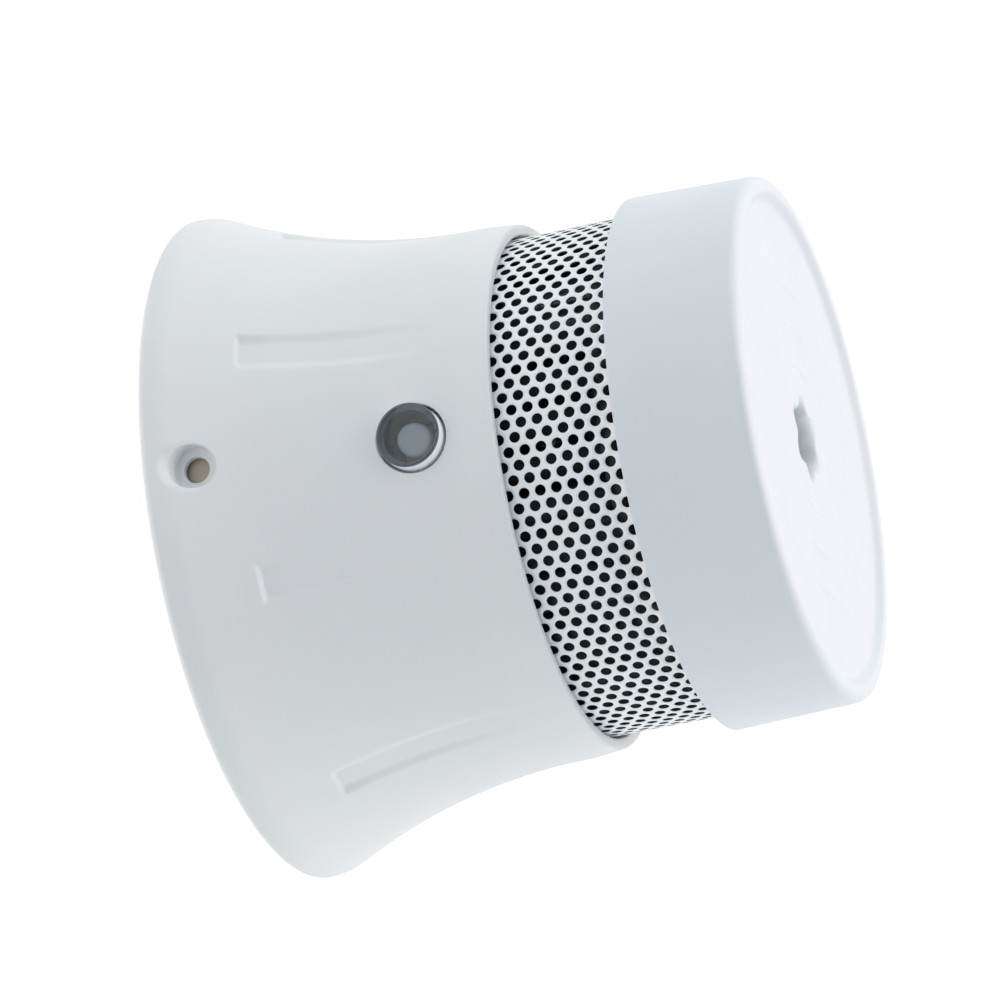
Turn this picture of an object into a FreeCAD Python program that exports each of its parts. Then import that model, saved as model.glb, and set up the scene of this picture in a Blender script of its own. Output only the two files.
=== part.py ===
import FreeCAD, Part
import math
import os

import Sketcher

# Mini smoke alarm, millimetres. +Z runs from the mounting surface (z = 0) to the face of the cap, the axis of the
# alarm is the Z axis, and -Y is the side with the clear test button and the small hole of the tamper screw.

doc = FreeCAD.newDocument("smoke_alarm")
sheet = doc.addObject("Spreadsheet::Sheet", "Sizes")
V = FreeCAD.Vector

SIZES = [
    # bell housing, outside
    ("bell_foot_z", 1.03), ("bell_foot_rad", 29.07), ("flare_rad", 31.5), ("flare_z", 2.14),
    ("flare_low_arc", 2.35), ("flare_top_arc", 4.86), ("flare_end_rad", 31.0), ("flare_end_z", 4.32),
    ("waist_arc", 56.2), ("waist_rad", 25.12), ("waist_z", 29.36), ("rim_rad", 24.8), ("rim_z", 32.35),
    # bell housing, inside
    ("lip_rad", 28.3), ("lip_z", 1.5), ("skirt_rad", 29.4), ("skirt_low_z", 2.2), ("skirt_top_z", 3.2),
    ("inner_low_rad", 28.95), ("inner_low_z", 5.4), ("inner_arc", 55.0), ("inner_top_rad", 23.3),
    ("neck_rad", 23.2), ("shoulder_z", 30.2), ("band_seat_rad", 23.75),
    ("shelf_rad", 19.6), ("shelf_z", 26.4), ("shelf_top_z", 28.0),
    # finger grooves
    ("groove_count", 8), ("groove_wide", 3.3), ("groove_low_z", 9.7), ("groove_low_rad", 28.17),
    ("groove_high_z", 27.2), ("groove_high_rad", 25.17), ("groove_arc", 52.0),
    # window, button and lamp
    ("window_z", 24.84), ("window_rad", 3.35), ("button_rad", 2.95), ("button_front", 26.4),
    ("button_back", 22.9), ("button_bore", 2.35), ("lamp_rad", 1.5), ("lamp_tip", 24.5),
    # tamper screw hole
    ("lock_z", 5.8), ("lock_recess_rad", 2.12), ("lock_floor", 28.7), ("lock_hole_rad", 1.2),
    ("lock_boss_rad", 2.9), ("lock_boss_in", 28.1), ("lock_boss_out", 29.4),
    # bosses for the rear cover, lugs for the cap screws
    ("boss_ring", 21.0), ("boss_rad", 2.4), ("boss_low_z", 9.65), ("boss_bore", 1.05), ("rib_wide", 1.2),
    ("post_side", 13.1), ("lobe_rad", 2.6), ("screw_hole", 1.2), ("post_rad", 2.2), ("screw_rad", 1.0),
    ("head_rad", 1.9), ("head_tall", 1.3),
    # bayonet
    ("plate_rad", 28.0), ("plate_thick", 1.8), ("ring_in", 23.6), ("ring_out", 25.2), ("ring_top", 6.0),
    ("lug_out", 26.6), ("lug_low", 4.4), ("lug_tall", 1.4), ("lug_half", 10.0),
    ("hook_in", 25.5), ("hook_out", 29.7), ("hook_low", 2.5), ("hook_tall", 1.6), ("hook_half", 9.0),
    ("slot_pitch", 36.0), ("slot_rad", 2.2), ("slot_long", 8.0),
    ("block_in", 22.4), ("block_out", 27.2), ("block_half", 2.7), ("block_top", 7.75),
    ("insert_rad", 1.65), ("insert_bore", 0.8), ("insert_front", 27.7),
    # rear cover and battery
    ("cover_rad", 26.3), ("cover_z", 8.4), ("cover_thick", 1.2),
    ("cell_rad", 8.5), ("cell_long", 34.5), ("cell_y", 3.0), ("cell_z", 18.7), ("nub_rad", 3.2), ("nub_long", 0.9),
    ("holder_long", 38.8), ("holder_wide", 19.8), ("holder_low", 11.0), ("holder_high", 21.0), ("holder_wall", 1.4),
    # board
    ("board_rad", 22.6), ("board_thick", 1.6),
    # chamber
    ("base_z", 29.65), ("base_thick", 1.55), ("base_rad", 22.9), ("maze_rad", 22.7), ("maze_in", 20.95),
    ("maze_top", 41.2), ("vane_count", 36), ("vane_long", 2.9), ("vane_thick", 0.8), ("vane_lean", 55.0),
    ("lid_z", 41.25), ("lid_thick", 1.35), ("shade_out", 13.4), ("shade_in", 12.4), ("shade_low", 32.5),
    # screen band
    ("band_rad", 23.5), ("band_thick", 0.4), ("band_low", 30.3), ("band_high", 44.9),
    # cap
    ("cap_low", 43.32), ("cap_rad", 25.0), ("cap_top_rad", 24.6), ("cap_round", 0.93), ("cap_top", 55.6),
    ("cap_rim_in", 22.75), ("face_rad", 22.4), ("face_z", 54.85), ("cap_ceiling", 53.3), ("cap_in", 23.0),
    ("cap_seat_z", 45.2), ("cap_seat_rad", 23.65), ("outlet_rad", 2.9), ("lobe_small", 1.35), ("lobe_ring", 2.75),
    ("collar_rad", 5.4), ("collar_low", 51.2), ("relief_tall", 0.12), ("relief_wide", 0.5),
    # sounder
    ("disc_rad", 13.5), ("disc_z", 49.65), ("disc_thick", 0.2), ("piezo_rad", 9.8), ("piezo_thick", 0.22),
    ("cup_out", 15.6), ("cup_in", 13.8), ("cup_low", 48.6), ("cup_ledge", 12.6), ("foam_in", 11.4), ("foam_out", 13.4),
    ("pin_ring", 14.9), ("pin_rad", 0.7),
]
for row, (alias, number) in enumerate(SIZES, 1):
    sheet.set("A%d" % row, alias)
    sheet.set("B%d" % row, str(number))
    sheet.setAlias("B%d" % row, alias)
doc.recompute()


class Dim:
    """A size together with the spreadsheet expression that drives it."""

    def __init__(self, value, text):
        self.value, self.text = float(value), text

    def __add__(self, o):
        o = dim(o)
        return Dim(self.value + o.value, "(%s + %s)" % (self.text, o.text))

    def __radd__(self, o):
        return dim(o) + self

    def __sub__(self, o):
        o = dim(o)
        return Dim(self.value - o.value, "(%s - %s)" % (self.text, o.text))

    def __rsub__(self, o):
        return dim(o) - self

    def __mul__(self, o):
        o = dim(o)
        return Dim(self.value * o.value, "(%s * %s)" % (self.text, o.text))

    def __rmul__(self, o):
        return dim(o) * self

    def __truediv__(self, o):
        o = dim(o)
        return Dim(self.value / o.value, "(%s / %s)" % (self.text, o.text))

    def __neg__(self):
        return Dim(-self.value, "(0 - %s)" % self.text)


def dim(x):
    return x if isinstance(x, Dim) else Dim(x, repr(round(float(x), 6)))


def K(alias):
    return Dim(sheet.get(alias), "Sizes." + alias)


def bind(obj, prop, size):
    size = dim(size)
    obj.setExpression(prop, size.text)


# ---------------------------------------------------------------- sketches and features


def origin_feature(body, role):
    return next(f for f in body.Origin.OriginFeatures if f.Role == role)


def new_sketch(body, name, plane="XY_Plane", lift=0.0, turn=0.0):
    """A sketch on one of the body's own origin planes, lifted along its normal and turned about the Z axis."""
    s = body.newObject("Sketcher::SketchObject", name)
    s.AttachmentSupport = [(origin_feature(body, plane), "")]
    s.MapMode = "FlatFace"
    lift = dim(lift)
    spin = FreeCAD.Rotation(V(0, 0, 1), turn) if plane == "XY_Plane" else FreeCAD.Rotation(V(0, 1, 0), turn)
    s.AttachmentOffset = FreeCAD.Placement(V(0, 0, lift.value), spin)
    if lift.value:
        s.setExpression("AttachmentOffset.Base.z", lift.text)
    return s


def fix_point(s, geo, pos, x, y):
    x, y = dim(x), dim(y)
    for kind, size, axis in (("DistanceX", x, -2), ("DistanceY", y, -1)):
        if abs(size.value) < 1e-9:
            s.addConstraint(Sketcher.Constraint("PointOnObject", geo, pos, axis))
        else:
            i = s.addConstraint(Sketcher.Constraint(kind, -1, 1, geo, pos, size.value))
            s.setExpression("Constraints[%d]" % i, size.text)


def loop(s, points):
    """Closed outline. Each point is (x, y) or (x, y, radius): the radius bends the run to the next point, with its
    centre on the left of the run when it is positive and on the right when it is negative."""
    n = len(points)
    ends = []
    for i, p in enumerate(points):
        q = points[(i + 1) % n]
        a = V(dim(p[0]).value, dim(p[1]).value, 0)
        b = V(dim(q[0]).value, dim(q[1]).value, 0)
        if len(p) > 2:
            rad = dim(p[2]).value
            mid, half = (a + b) * 0.5, (b - a) * 0.5
            left = V(-half.y, half.x, 0).normalize()
            centre = mid + left * math.copysign(math.sqrt(rad * rad - half.Length ** 2), rad)
            ta = math.atan2(a.y - centre.y, a.x - centre.x)
            tb = math.atan2(b.y - centre.y, b.x - centre.x)
            circle = Part.Circle(centre, V(0, 0, 1), abs(rad))
            if rad > 0:
                geo = s.addGeometry(Part.ArcOfCircle(circle, ta, tb if tb > ta else tb + 2 * math.pi), False)
                ends.append((geo, 1, 2))
            else:
                geo = s.addGeometry(Part.ArcOfCircle(circle, tb, ta if ta > tb else ta + 2 * math.pi), False)
                ends.append((geo, 2, 1))
        else:
            geo = s.addGeometry(Part.LineSegment(a, b), False)
            ends.append((geo, 1, 2))
    for i in range(n):
        geo, _, last = ends[i]
        nxt, first, _ = ends[(i + 1) % n]
        s.addConstraint(Sketcher.Constraint("Coincident", geo, last, nxt, first))
    for i, p in enumerate(points):
        geo, first, _ = ends[i]
        fix_point(s, geo, first, p[0], p[1])
        if len(p) > 2:
            size = dim(p[2])
            if size.value < 0:
                size = -size
            k = s.addConstraint(Sketcher.Constraint("Radius", geo, size.value))
            s.setExpression("Constraints[%d]" % k, size.text)


def circle(s, x, y, rad):
    x, y, rad = dim(x), dim(y), dim(rad)
    geo = s.addGeometry(Part.Circle(V(x.value, y.value, 0), V(0, 0, 1), rad.value), False)
    fix_point(s, geo, 3, x, y)
    k = s.addConstraint(Sketcher.Constraint("Radius", geo, rad.value))
    s.setExpression("Constraints[%d]" % k, rad.text)


def volume(body):
    doc.recompute()
    return body.Shape.Volume if not body.Shape.isNull() else 0.0


def feature(body, kind, sketch, name, length=None, back=False, both=False):
    """A pad, pocket, revolution or groove, checked by the volume it adds or takes away."""
    before = volume(body)
    f = body.newObject("PartDesign::" + kind, name)
    f.Profile = sketch
    if kind in ("Revolution", "Groove"):
        f.ReferenceAxis = (sketch, ["V_Axis"])
        f.Angle = 360.0
    else:
        bind(f, "Length", length)
        if both:
            f.Midplane = True
        if back:
            f.Reversed = True
    body.Tip = f
    after = volume(body)
    grows = kind in ("Pad", "Revolution")
    if (after - before) * (1 if grows else -1) < 0.01:
        raise RuntimeError("%s in %s changed the volume from %.3f to %.3f" % (name, body.Label, before, after))
    return f


def polar(body, originals, count, name):
    before = volume(body)
    p = body.newObject("PartDesign::PolarPattern", name)
    p.Originals = originals
    p.Axis = (origin_feature(body, "Z_Axis"), [""])
    p.Angle = 360
    count = dim(count)
    p.Occurrences = int(round(count.value))
    if count.text.startswith("Sizes."):
        p.setExpression("Occurrences", count.text)
    body.Tip = p
    if abs(volume(body) - before) < 0.01:
        raise RuntimeError("%s in %s changed nothing" % (name, body.Label))
    return p


def new_body(label):
    b = doc.addObject("PartDesign::Body", label)
    b.Label = label
    return b


def sector(s, r_in, r_out, mid_deg, half_deg):
    """Outline of a ring sector between two radii."""
    a, b = math.radians(mid_deg - half_deg), math.radians(mid_deg + half_deg)
    r_in, r_out = dim(r_in), dim(r_out)
    loop(s, [(r_out * math.cos(a), r_out * math.sin(a), r_out), (r_out * math.cos(b), r_out * math.sin(b)),
             (r_in * math.cos(b), r_in * math.sin(b), -r_in), (r_in * math.cos(a), r_in * math.sin(a))])


# ---------------------------------------------------------------- primitives and booleans

TURN = {"z": FreeCAD.Rotation(), "y": FreeCAD.Rotation(V(1, 0, 0), -90), "-y": FreeCAD.Rotation(V(1, 0, 0), 90),
        "x": FreeCAD.Rotation(V(0, 1, 0), 90), "-x": FreeCAD.Rotation(V(0, 1, 0), -90)}


def place(obj, at, turn):
    at = [dim(c) for c in at]
    obj.Placement = FreeCAD.Placement(V(*[c.value for c in at]), turn)
    for axis, c in zip("xyz", at):
        if "Sizes" in c.text:
            obj.setExpression("Placement.Base." + axis, c.text)


def cyl(name, rad, tall, at, along="z"):
    c = doc.addObject("Part::Cylinder", name)
    bind(c, "Radius", rad)
    bind(c, "Height", tall)
    place(c, at, TURN[along])
    return c


def cone(name, r1, r2, tall, at, along="z"):
    c = doc.addObject("Part::Cone", name)
    bind(c, "Radius1", r1)
    bind(c, "Radius2", r2)
    bind(c, "Height", tall)
    place(c, at, TURN[along])
    return c


def box(name, size, at, turn=None):
    b = doc.addObject("Part::Box", name)
    for prop, value in zip(("Length", "Width", "Height"), size):
        bind(b, prop, value)
    place(b, at, turn or FreeCAD.Rotation())
    return b


def fuse(name, parts):
    f = doc.addObject("Part::MultiFuse", name)
    f.Shapes = parts
    return f


def cut(name, base, tools):
    c = doc.addObject("Part::Cut", name)
    c.Base = base
    c.Tool = tools[0] if len(tools) == 1 else fuse(name + "_tools", tools)
    return c


def compound(name, parts):
    c = doc.addObject("Part::Compound", name)
    c.Links = parts
    return c


def screws(name, spots, z_head, z_end):
    """Pan-head screws with their heads below z_head and their tips at z_end."""
    group = []
    for i, (x, y) in enumerate(spots):
        head = cyl("%s_head_%d" % (name, i), K("head_rad"), K("head_tall"), (x, y, dim(z_head) - K("head_tall")))
        shank = cyl("%s_shank_%d" % (name, i), K("screw_rad"), dim(z_end) - z_head, (x, y, z_head))
        cross_a = box("%s_cross_a_%d" % (name, i), (2.2, 0.45, 0.7), (dim(x) - 1.1, dim(y) - 0.225, dim(z_head) - K("head_tall")))
        cross_b = box("%s_cross_b_%d" % (name, i), (0.45, 2.2, 0.7), (dim(x) - 0.225, dim(y) - 1.1, dim(z_head) - K("head_tall")))
        group.append(cut("%s_%d" % (name, i), fuse("%s_solid_%d" % (name, i), [head, shank]), [cross_a, cross_b]))
    return compound(name, group)


def on_ring(rad, degrees):
    a = math.radians(degrees)
    rad = dim(rad)
    return rad * round(math.cos(a), 9), rad * round(math.sin(a), 9)


nodes = []


def node(obj, label):
    obj.Label = label
    if obj.Label != label:
        raise RuntimeError("the label %s is taken" % label)
    nodes.append(obj)
    return obj


# ================================================================ mount

# Mounting plate: disc, bayonet ring, three lugs with their stops, two slots and the block for the tamper screw.
plate = new_body("mounting_plate")
s = new_sketch(plate, "plate_profile", "XZ_Plane")
loop(s, [(0, 0), (K("plate_rad") - 2.1, 0), (K("plate_rad"), 0.65), (K("plate_rad"), K("plate_thick")),
         (K("ring_out"), K("plate_thick")), (K("ring_out"), K("ring_top")), (K("ring_in"), K("ring_top")),
         (K("ring_in"), K("plate_thick")), (0, K("plate_thick"))])
feature(plate, "Revolution", s, "plate_disc")
s = new_sketch(plate, "lug_outline", lift=K("lug_low"))
sector(s, K("ring_out") - 0.6, K("lug_out"), 90, 10)
lug = feature(plate, "Pad", s, "lug", K("lug_tall"))
polar(plate, [lug], 3, "lugs")
s = new_sketch(plate, "stop_outline", lift=K("plate_thick"))
sector(s, K("ring_out") - 0.6, K("lug_out"), 79.2, 1.0)
stop = feature(plate, "Pad", s, "stop_rib", K("lug_low") - K("plate_thick") + K("lug_tall"))
polar(plate, [stop], 3, "stop_ribs")
s = new_sketch(plate, "block_outline", lift=K("plate_thick") - 0.3)
loop(s, [(-K("block_half"), -K("block_out")), (K("block_half"), -K("block_out")), (K("block_half"), -K("block_in")),
         (-K("block_half"), -K("block_in"))])
feature(plate, "Pad", s, "lock_block", K("block_top") - K("plate_thick") + 0.3)
s = new_sketch(plate, "insert_bore_outline", "XZ_Plane", lift=K("block_in") - 0.5)
circle(s, 0, K("lock_z"), K("insert_rad") + 0.02)
feature(plate, "Pocket", s, "insert_seat", K("block_out") - K("block_in") + 1.0, back=True)
s = new_sketch(plate, "slot_outline")
half = (K("slot_long") / 2) - K("slot_rad")
for side in (-1, 1):
    mid = K("slot_pitch") / 2 * side
    loop(s, [(mid + half, -K("slot_rad"), K("slot_rad") * 1.0001), (mid + half, K("slot_rad")),
             (mid - half, K("slot_rad"), K("slot_rad") * 1.0001), (mid - half, -K("slot_rad"))])
feature(plate, "Pocket", s, "screw_slots", K("plate_thick") + 1, back=True)
# ribs that stiffen the disc
s = new_sketch(plate, "rib_outline", lift=K("plate_thick") - 0.2)
loop(s, [(-0.6, 6.0), (0.6, 6.0), (0.6, K("ring_in") + 0.3), (-0.6, K("ring_in") + 0.3)])
rib = feature(plate, "Pad", s, "disc_rib", 1.6)
polar(plate, [rib], 3, "disc_ribs")
node(plate, "mounting_plate")

insert = cut("lock_insert",
             cyl("insert_body", K("insert_rad"), K("insert_front") - K("block_in") - 0.1, (0, -K("insert_front"), K("lock_z")), "y"),
             [cyl("insert_hole", K("insert_bore"), K("block_out") - K("block_in"), (0, -K("block_out") + 1.2, K("lock_z")), "y")])
node(insert, "lock_insert")

# ================================================================ bell housing

bell = new_body("bell_housing")
s = new_sketch(bell, "bell_profile", "XZ_Plane")
loop(s, [(K("lip_rad"), K("bell_foot_z")), (K("bell_foot_rad"), K("bell_foot_z"), K("flare_low_arc")),
         (K("flare_rad"), K("flare_z"), K("flare_top_arc")), (K("flare_end_rad"), K("flare_end_z"), -K("waist_arc")),
         (K("waist_rad"), K("waist_z")), (K("rim_rad"), K("rim_z")), (K("band_seat_rad"), K("rim_z")),
         (K("band_seat_rad"), K("shoulder_z")), (K("neck_rad"), K("shoulder_z")), (K("neck_rad"), K("shelf_top_z")),
         (K("shelf_rad"), K("shelf_top_z")), (K("shelf_rad"), K("shelf_z")), (K("inner_top_rad"), K("shelf_z"), K("inner_arc")),
         (K("inner_low_rad"), K("inner_low_z")), (K("skirt_rad"), K("skirt_top_z")), (K("skirt_rad"), K("skirt_low_z")),
         (K("lip_rad"), K("lip_z"))])
feature(bell, "Revolution", s, "bell_shell")
# Eight finger grooves: deepest at the flare, running out to nothing at the waist.
s = new_sketch(bell, "groove_outline", "XZ_Plane", turn=22.5)
loop(s, [(K("groove_low_rad"), K("groove_low_z")), (K("groove_low_rad") + 2.5, K("groove_low_z")),
         (K("groove_high_rad") + 2.5, K("groove_high_z")), (K("groove_high_rad"), K("groove_high_z"), K("groove_arc"))])
groove = feature(bell, "Pocket", s, "finger_groove", K("groove_wide"), both=True)
polar(bell, [groove], K("groove_count"), "finger_grooves")
# Bosses for the rear cover's screws, each tied to the wall by a rib.
s = new_sketch(bell, "rib_outline", "XZ_Plane", turn=90)
loop(s, [(K("boss_ring"), K("boss_low_z")), (27.4, K("boss_low_z")), (26.5, 13.0), (25.2, 18.0), (24.3, 23.0),
         (23.9, K("shelf_z") + 0.4), (K("boss_ring"), K("shelf_z") + 0.4)])
rib = feature(bell, "Pad", s, "boss_rib", K("rib_wide"), both=True)
polar(bell, [rib], 3, "boss_ribs")
s = new_sketch(bell, "boss_outline", lift=K("boss_low_z"))
circle(s, 0, K("boss_ring"), K("boss_rad"))
boss = feature(bell, "Pad", s, "boss", K("shelf_z") - K("boss_low_z") + 0.5)
polar(bell, [boss], 3, "bosses")
s = new_sketch(bell, "boss_bore_outline", lift=K("boss_low_z") - 0.2)
circle(s, 0, K("boss_ring"), K("boss_bore"))
bore = feature(bell, "Pocket", s, "boss_bore", 9.0, back=True)
polar(bell, [bore], 3, "boss_bores")
# Lobes on the shelf for the four long screws that clamp board, chamber and cap.
s = new_sketch(bell, "lobe_outline", lift=K("shelf_z"))
circle(s, K("post_side"), K("post_side"), K("lobe_rad"))
lobe = feature(bell, "Pad", s, "screw_lobe", K("shelf_top_z") - K("shelf_z"))
polar(bell, [lobe], 4, "screw_lobes")
s = new_sketch(bell, "lobe_hole_outline", lift=K("shelf_z") - 0.2)
circle(s, K("post_side"), K("post_side"), K("screw_hole"))
hole = feature(bell, "Pocket", s, "screw_hole_cut", 2.2, back=True)
polar(bell, [hole], 4, "screw_holes")
# Notch in the shelf for the lamp, the switch and the button's guide.
s = new_sketch(bell, "notch_outline", lift=K("shelf_z") - 0.2)
loop(s, [(-5.2, -22.95), (5.2, -22.95), (5.2, -15.0), (-5.2, -15.0)])
feature(bell, "Pocket", s, "shelf_notch", 2.2, back=True)
# Window of the test button.
s = new_sketch(bell, "window_outline", "XZ_Plane", lift=22.0)
circle(s, 0, K("window_z"), K("window_rad"))
feature(bell, "Pocket", s, "window_cut", 6.0, back=True)
# Boss, recess and hole of the tamper screw.
s = new_sketch(bell, "lock_boss_outline", "XZ_Plane", lift=K("lock_boss_in"))
circle(s, 0, K("lock_z"), K("lock_boss_rad"))
feature(bell, "Pad", s, "lock_boss", K("lock_boss_out") - K("lock_boss_in"))
s = new_sketch(bell, "lock_recess_outline", "XZ_Plane", lift=K("lock_floor"))
circle(s, 0, K("lock_z"), K("lock_recess_rad"))
feature(bell, "Pocket", s, "lock_recess", 4.0, back=True)
s = new_sketch(bell, "lock_hole_outline", "XZ_Plane", lift=K("lock_boss_in") - 0.3)
circle(s, 0, K("lock_z"), K("lock_hole_rad"))
feature(bell, "Pocket", s, "lock_hole", 4.0, back=True)
# Bayonet hooks that lie behind the plate's lugs.
s = new_sketch(bell, "hook_outline", lift=K("hook_low"))
sector(s, K("hook_in"), K("hook_out"), 90, 9)
hook = feature(bell, "Pad", s, "hook", K("hook_tall"))
polar(bell, [hook], 3, "hooks")
node(bell, "bell_housing")

# ================================================================ rear cover, battery

ring_spots = [on_ring(K("boss_ring"), a) for a in (90, 210, 330)]
cover = cut("rear_cover",
            fuse("cover_solid", [cyl("cover_disc", K("cover_rad"), K("cover_thick"), (0, 0, K("cover_z"))),
                                 box("cover_grip", (14, 1.6, 0.6), (-7, 15.0, K("cover_z") - 0.55))]),
            [cyl("cover_hole_%d" % i, K("screw_hole"), 3, (x, y, K("cover_z") - 1)) for i, (x, y) in enumerate(ring_spots)])
node(cover, "rear_cover")
node(screws("rear_cover_screws", ring_spots, K("cover_z"), 16.5), "rear_cover_screws")
label = doc.addObject("Part::Box", "rating_label_box")
for prop, value in (("Length", 24.0), ("Width", 15.0), ("Height", 0.12)):
    bind(label, prop, value)
place(label, (-12.0, -9.0, K("cover_z") - 0.12), FreeCAD.Rotation())
node(label, "rating_label")

cell = fuse("battery_cell", [
    cyl("cell_can", K("cell_rad"), K("cell_long") - K("nub_long") - 0.8, (-K("cell_long") / 2 + 0.4, K("cell_y"), K("cell_z")), "x"),
    cone("cell_end_a", K("cell_rad"), K("cell_rad") - 0.4, 0.4, (-K("cell_long") / 2 + 0.4, K("cell_y"), K("cell_z")), "-x"),
    cone("cell_end_b", K("cell_rad"), K("cell_rad") - 0.4, 0.4, (K("cell_long") / 2 - K("nub_long") - 0.4, K("cell_y"), K("cell_z")), "x"),
    cyl("cell_nub", K("nub_rad"), K("nub_long") + 0.2, (K("cell_long") / 2 - K("nub_long") - 0.2, K("cell_y"), K("cell_z")), "x")])
node(cell, "battery_cell")

holder = cut("battery_holder",
             fuse("holder_solid", [
                 box("holder_block", (K("holder_long"), K("holder_wide"), K("holder_high") - K("holder_low")),
                     (-K("holder_long") / 2, K("cell_y") - K("holder_wide") / 2, K("holder_low"))),
                 box("holder_end_a", (K("holder_wall"), 15.0, 26.35 - K("holder_low")), (-K("holder_long") / 2, -4.5, K("holder_low"))),
                 box("holder_end_b", (K("holder_wall"), 15.0, 26.35 - K("holder_low")), (K("holder_long") / 2 - K("holder_wall"), -4.5, K("holder_low")))]),
             [cyl("holder_bore", K("cell_rad") + 0.3, K("holder_long") - K("holder_wall") * 2, (K("holder_wall") - K("holder_long") / 2, K("cell_y"), K("cell_z")), "x")])
node(holder, "battery_holder")

for side, name in ((1, "positive"), (-1, "negative")):
    x0 = K("cell_long") / 2 + 0.15 if side > 0 else -K("cell_long") / 2 - 0.5
    tab = fuse("battery_tab_" + name, [
        box("tab_plate_" + name, (0.35, 7.0, 9.0), (x0, K("cell_y") - 3.5, K("cell_z") - 4.5)),
        box("tab_tail_" + name, (0.35, 2.4, 27.9 - K("cell_z")), (x0, K("cell_y") - 1.2, K("cell_z")))])
    node(tab, "battery_tab_" + name)

# ================================================================ board and what it carries

board = new_body("main_board")
s = new_sketch(board, "board_outline", lift=K("shelf_top_z") + 0.02)
circle(s, 0, 0, K("board_rad"))
feature(board, "Pad", s, "board_disc", K("board_thick") - 0.04)
s = new_sketch(board, "board_hole_outline", lift=K("shelf_top_z") - 0.5)
circle(s, K("post_side"), K("post_side"), K("screw_hole"))
hole = feature(board, "Pocket", s, "board_hole", 3.0, back=True)
polar(board, [hole], 4, "board_holes")
node(board, "main_board")

chip = fuse("microcontroller", [box("chip_body", (5, 5, 0.8), (-10.2, -13.2, 27.15))] +
            [box("chip_pin_%d_%d" % (i, side), (0.3, 0.9, 0.35), (-9.85 + i * 1.0, -14.1 if side < 0 else -8.25, 27.62))
             for i in range(5) for side in (-1, 1)])
node(chip, "microcontroller")
can = fuse("can_solid", [cyl("can_body", 2.5, 7.0, (8.2, -10.2, 20.9)), cyl("can_base", 2.4, 0.2, (8.2, -10.2, 27.75))])
node(cut("capacitor", can, [box("can_vent_a", (3.6, 0.3, 0.25), (6.4, -10.35, 20.8)), box("can_vent_b", (0.3, 3.6, 0.25), (8.05, -12.0, 20.8))]), "capacitor")
coil = fuse("boost_coil", [cyl("coil_core", 1.6, 5.2, (5.5, 15.0, 22.7)), cyl("coil_foot", 3.3, 0.8, (5.5, 15.0, 27.15)),
                           cyl("coil_head", 3.3, 0.8, (5.5, 15.0, 22.6)), cyl("coil_winding", 2.9, 3.9, (5.5, 15.0, 23.3))])
node(coil, "boost_coil")

switch = cut("tact_switch",
             fuse("switch_solid", [box("switch_block", (6.2, 3.8, 5.0), (-3.1, -16.3, 22.95)),
                                   box("switch_leg_a", (0.7, 0.5, 1.2), (-2.6, -14.4, 26.75)), box("switch_leg_b", (0.7, 0.5, 1.2), (1.9, -14.4, 26.75))]),
             [cyl("switch_bore", 1.78, 2.5, (0, -16.4, K("window_z")), "y")])
node(switch, "tact_switch")

lamp = fuse("indicator_led", [
    cone("lamp_dome", K("lamp_rad"), K("lamp_rad") - 0.45, 0.4, (0, -K("lamp_tip") + 0.4, K("window_z")), "-y"),
    cyl("lamp_body", K("lamp_rad"), K("lamp_tip") - 0.4 - 19.5, (0, -K("lamp_tip") + 0.4, K("window_z")), "y"),
    cyl("lamp_flange", K("lamp_rad") + 0.2, 0.8, (0, -19.6, K("window_z")), "y"),
    box("lamp_leg_a", (0.45, 0.5, 27.95 - K("window_z")), (-0.9, -18.95, K("window_z"))),
    box("lamp_leg_b", (0.45, 0.5, 27.95 - K("window_z")), (0.45, -18.95, K("window_z")))])
node(lamp, "indicator_led")

# ================================================================ optical chamber

post_spots = [(K("post_side") * sx, K("post_side") * sy) for sx in (-1, 1) for sy in (-1, 1)]
pin_spots = [(K("pin_ring"), 0), (-K("pin_ring"), 0)]
floor_z = K("base_z") + K("base_thick")
cradles = []
sensor = []
for i, (a, name) in enumerate(((-90, "ir_emitter"), (45, "photodiode"))):
    spin = FreeCAD.Rotation(V(0, 0, 1), a)
    cx, cy = on_ring(9.0, a)
    ox, oy = math.cos(math.radians(a)), math.sin(math.radians(a))
    block = box("cradle_%d" % i, (4.6, 4.6, 5.0), (9.0 * ox - 2.3 * ox + 2.3 * oy, 9.0 * oy - 2.3 * oy - 2.3 * ox, floor_z - 0.2), spin)
    bore = doc.addObject("Part::Cylinder", "cradle_bore_%d" % i)
    bind(bore, "Radius", 1.58)
    bind(bore, "Height", 8)
    bore.Placement = FreeCAD.Placement(V(5 * ox, 5 * oy, 33.9), FreeCAD.Rotation(V(0, 0, 1), V(ox, oy, 0)))
    cradles.append((block, bore))
    body_c = doc.addObject("Part::Cylinder", name + "_can")
    bind(body_c, "Radius", 1.5)
    bind(body_c, "Height", 3.8)
    body_c.Placement = FreeCAD.Placement(V(7.4 * ox, 7.4 * oy, 33.9), FreeCAD.Rotation(V(0, 0, 1), V(ox, oy, 0)))
    dome = doc.addObject("Part::Sphere", name + "_dome")
    bind(dome, "Radius", 1.5)
    dome.Placement = FreeCAD.Placement(V(7.4 * ox, 7.4 * oy, 33.9), FreeCAD.Rotation())
    sensor.append((fuse(name, [body_c, dome]), name))
base = cut("chamber_base",
           fuse("base_solid", [cyl("base_disc", K("base_rad"), K("base_thick"), (0, 0, K("base_z")))] + [c[0] for c in cradles]),
           [c[1] for c in cradles]
           + [cyl("base_hole_%d" % i, K("screw_hole"), 3, (x, y, K("base_z") - 0.5)) for i, (x, y) in enumerate(post_spots)]
           + [cyl("base_pin_%d" % i, K("pin_rad") + 0.2, 3, (x, y, K("base_z") - 0.5)) for i, (x, y) in enumerate(pin_spots)])
node(base, "chamber_base")
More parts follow.
